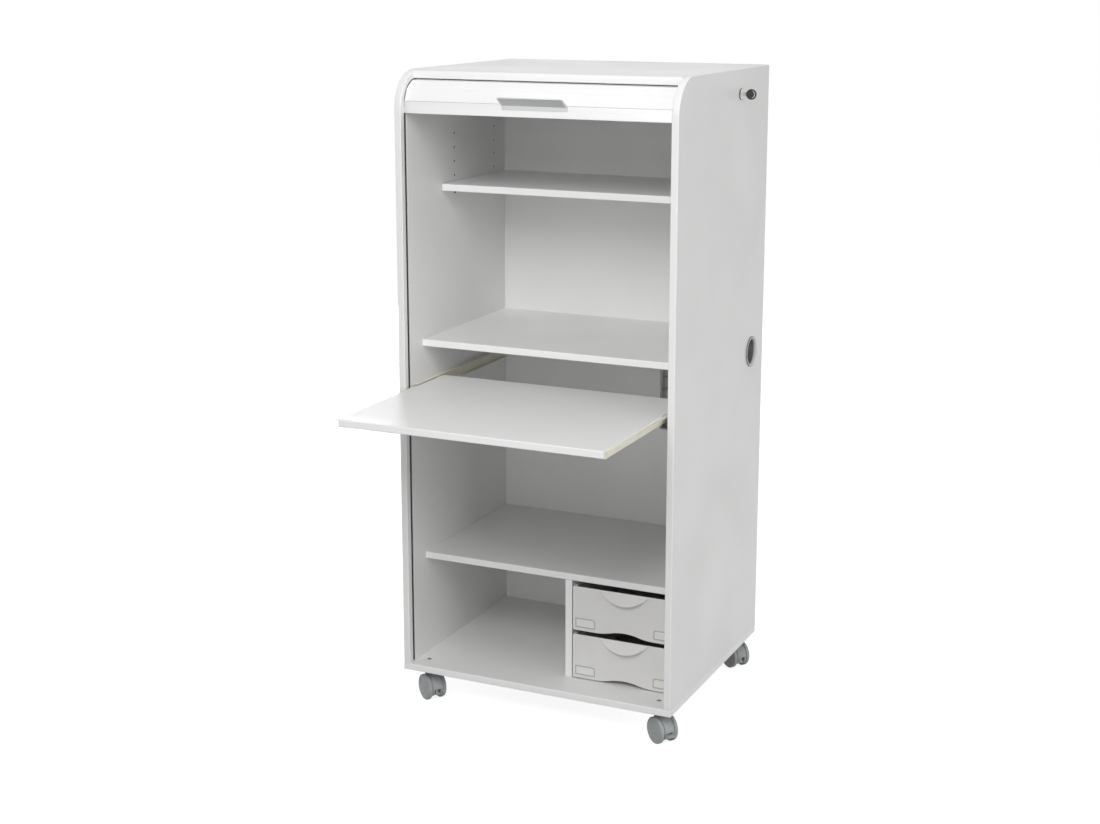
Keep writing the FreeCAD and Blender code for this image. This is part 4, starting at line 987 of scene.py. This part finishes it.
def closedBelow(node):
    # a side panel whose unused peg holes below the shelf are closed
    columns = [middleOf(box).y for box in pinBoxes]
    depth, pitch = sideBox[0].x + supports["holeDepth"], supports["pitch"]
    lowest, highest = pegLevel - pitch * (supports["rows"] + 0.5), pegLevel - pitch / 2
    work = mergedCopy(node)
    holes = {vert for vert in work.verts if abs(vert.co.x) < depth and lowest < vert.co.z < highest
             and any(abs(vert.co.y - column) < supports["near"] for column in columns)}
    walls = [face for face in work.faces if all(vert in holes for vert in face.verts)]
    bmesh.ops.delete(work, geom=walls, context="FACES")
    bmesh.ops.delete(work, geom=[vert for vert in work.verts if not vert.link_faces], context="VERTS")
    bmesh.ops.holes_fill(work, edges=[edge for edge in work.edges if edge.is_boundary], sides=0)
    bmesh.ops.recalc_face_normals(work, faces=work.faces)
    return skinOf(node, work, keepFlat=True)


for node in nodeLooks["sideBoard"]:
    finished(closedBelow(node), "sideBoard", "cabinet", node)
print("side panels and shelf supports ready")


# the top panel's nose: softly rounded above, and brought down close to the slats

nose = {"lip": 0.0023, "drop": 0.0034, "brow": 0.010, "near": 0.00001, "round": 0.006, "steps": 5,
        "shape": 0.5}


def nosedTop(node):
    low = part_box(node)[0]
    work = mergedCopy(node, plainFaces=True)
    for vert in work.verts:
        if vert.co.y < low.y + nose["lip"] and vert.co.z < low.z + nose["lip"]:
            vert.co.z -= nose["drop"]
    upper = {vert for vert in work.verts
             if vert.co.y < low.y + nose["near"] and vert.co.z > low.z + nose["brow"]}
    brow = [edge for edge in work.edges if all(vert in upper for vert in edge.verts)]
    bmesh.ops.bevel(work, geom=brow, offset=nose["round"], segments=nose["steps"], profile=nose["shape"],
                    affect="EDGES")
    return skinOf(node, work, keepFlat=True)


finished(nosedTop("top_panel"), "boardZ", "cabinet", "top_panel")
print("top panel ready")


# cross-recess screws

screws = {"panRadius": 0.0035, "panHeight": 0.0016, "panSteps": 6, "flatRadius": 0.0045, "flatDepth": 0.004,
          "flatRim": 0.0003, "flatShank": 1.3, "shank": 0.0017, "length": 0.011, "turnSteps": 40,
          "smoothDeg": 35, "recessLong": 0.0022, "recessWide": 0.0007, "recessDeep": 0.0012}
headTops = {"pan": screws["panHeight"], "flat": 0.0}
screwSets = {
    "desk_rail_screws": {"head": "pan", "across": False, "body": "desk"},
    "cabinet_rail_screws": {"head": "pan", "across": True, "body": "cabinet"},
    "base_screws": {"head": "flat", "across": False, "body": "cabinet"},
}


def screwProfile(head):
    # a pan head stands above zero, and a flat one is sunk below it
    shank, length = screws["shank"], screws["length"]
    if head == "flat":
        radius, rim = screws["flatRadius"], screws["flatRim"]
        shank *= screws["flatShank"]
        profile = [(0, 0), (radius - rim, 0), (radius, -rim), (shank, -screws["flatDepth"])]
    else:
        profile = [(0, screws["panHeight"])]
        for step in range(1, screws["panSteps"] + 1):
            turn = math.pi / 2 * (1 - step / screws["panSteps"])
            profile.append((screws["panRadius"] * math.cos(turn), screws["panHeight"] * math.sin(turn)))
        profile.append((shank, 0))
    return profile + [(shank, -length), (0, -length)]


def makeScrew(head):
    name = f"{head}_screw"
    work = latheY(screwProfile(head), screws["turnSteps"])
    bmesh.ops.transform(work, matrix=Matrix.Rotation(math.pi / 2, 4, "X"), verts=work.verts)
    screw = newPiece(name, meshFrom(work, name))
    cutter = bmesh.new()
    arms = (screws["recessLong"], screws["recessWide"])
    for long, wide in (arms, arms[::-1]):
        shape = Matrix.Diagonal((long * 2, wide * 2, screws["recessDeep"] * 2, 1))
        bmesh.ops.create_cube(cutter, size=1.0, matrix=Matrix.Translation((0, 0, headTops[head])) @ shape)
    cross = newPiece(f"{name}_recess", meshFrom(cutter, f"{name}_recess"))
    cutting = screw.modifiers.new("Recess", "BOOLEAN")
    cutting.object = cross
    cutting.operation = "DIFFERENCE"
    cutting.solver = "EXACT"
    cutting.use_self = True
    plainMesh(screw)
    bpy.data.objects.remove(cross)
    screw.data.shade_smooth()
    screw.data.set_sharp_from_angle(angle=math.radians(screws["smoothDeg"]))
    return screw


def screwPlaces(node, head, across):
    # where a node's screws seat their heads, and the way each looks: across to the middle, or down
    places, ways = [], []
    for low, high in islands(node):
        middle, reach = middleOf((low, high)), (high - low) / 2
        way = (-1 if middle.x > 0 else 1, 0, 0) if across else (0, 0, -1)
        places.append(middle + Vector([way[i] * (reach[i] - headTops[head]) for i in range(3)]))
        ways.extend(way)
    mesh = bpy.data.meshes.new(node)
    mesh.from_pydata(places, [], [])
    mesh.attributes.new("facing", "FLOAT_VECTOR", "POINT").data.foreach_set("vector", ways)
    return mesh


screwTree = makeScrewTree()
sources = {head: makeScrew(head) for head in headTops}
for node, part in screwSets.items():
    spots = screwPlaces(node, part["head"], part["across"])
    made = grown(f"{node}_heads", spots, screwTree, Screw=sources[part["head"]], Finish=looks["zinc"])
    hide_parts(node)
    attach(made, part["body"])
for source in sources.values():
    bpy.data.objects.remove(source)
print("screws ready")


# camera, light and stage

view = {"place": (1.606, -3.640, 1.6456), "yawDeg": 24.98, "pitchDeg": 12.23, "lens": 58.27,
        "shiftY": -0.05}
cameraData = bpy.data.cameras.new("photoView")
cameraData.lens = view["lens"]
cameraData.shift_y = view["shiftY"]
camera = newPiece("photoView", cameraData)
camera.location = view["place"]
camera.rotation_euler = (math.radians(90 - view["pitchDeg"]), 0, math.radians(view["yawDeg"]))
scene.camera = camera
scene.view_settings.view_transform = "Standard"

lamps = {
    "frontTop": {"place": (0.4, -2.6, 2.7), "size": 1.6, "power": 54},
    "overhead": {"place": (0.1, 0.2, 3.4), "size": 1.2, "power": 8},
    "sideSoft": {"place": (5.0, -0.9, 1.7), "size": 3.5, "power": 89},
    "frontFill": {"place": (0.9, -4.6, 1.0), "size": 2.6, "power": 24},
    "rearSoft": {"place": (-2.6, 4.2, 0.8), "size": 1.5, "power": 80},
}
for name, lamp in lamps.items():
    data = bpy.data.lights.new(name, "AREA")
    data.energy = lamp["power"]
    data.size = lamp["size"]
    light = newPiece(name, data)
    light.location = lamp["place"]
    light.rotation_euler = (middleOf(cadBox) - light.location).to_track_quat("-Z", "Y").to_euler()

stage = {"ambient": 0.31, "half": 14.0, "floorColour": (0.60, 0.60, 0.60),
         "bounceColour": (0.42, 0.42, 0.42), "glow": 0.82}


def seenDirectly(tree):
    path = put(tree, "ShaderNodeLightPath").outputs
    seen = maths(tree, "MAXIMUM", path["Is Camera Ray"], path["Is Glossy Ray"])
    return maths(tree, "MAXIMUM", seen, path["Is Transmission Ray"])


world = bpy.data.worlds.new("whiteRoom")
world.use_nodes = True
scene.world = world
air = world.node_tree
background = air.nodes["Background"].inputs
background["Color"].default_value = (1, 1, 1, 1)
air.links.new(ramp(air, seenDirectly(air), 0.0, 1.0, stage["ambient"], 1.0), background["Strength"])

work = bmesh.new()
bmesh.ops.create_grid(work, x_segments=1, y_segments=1, size=stage["half"])
floor = newPiece("floor", meshFrom(work, "floor"))
floorLook, ground, _ = startMaterial("paleFloor", {})
ground.nodes.remove(ground.nodes["Principled BSDF"])
plainFloor = put(ground, "ShaderNodeBsdfDiffuse", {"Color": shade(stage["bounceColour"])}).outputs[0]
shadowFloor = put(ground, "ShaderNodeBsdfDiffuse", {"Color": shade(stage["floorColour"])}).outputs[0]
glow = put(ground, "ShaderNodeEmission", {"Strength": stage["glow"]}).outputs[0]
seenFloor = put(ground, "ShaderNodeAddShader", {0: glow, 1: shadowFloor}).outputs[0]
direct = seenDirectly(ground)
bothFloors = put(ground, "ShaderNodeMixShader", {0: direct, 1: plainFloor, 2: seenFloor}).outputs[0]
# from below the floor is out of the way
below = maths(ground, "MULTIPLY", put(ground, "ShaderNodeNewGeometry").outputs["Backfacing"],
              put(ground, "ShaderNodeLightPath").outputs["Is Camera Ray"])
clear = put(ground, "ShaderNodeBsdfTransparent").outputs[0]
openFloor = put(ground, "ShaderNodeMixShader", {0: below, 1: bothFloors, 2: clear}).outputs[0]
ground.links.new(openFloor, ground.nodes["Material Output"].inputs["Surface"])
floor.data.materials.append(floorLook)
print("camera, lamps and stage ready")
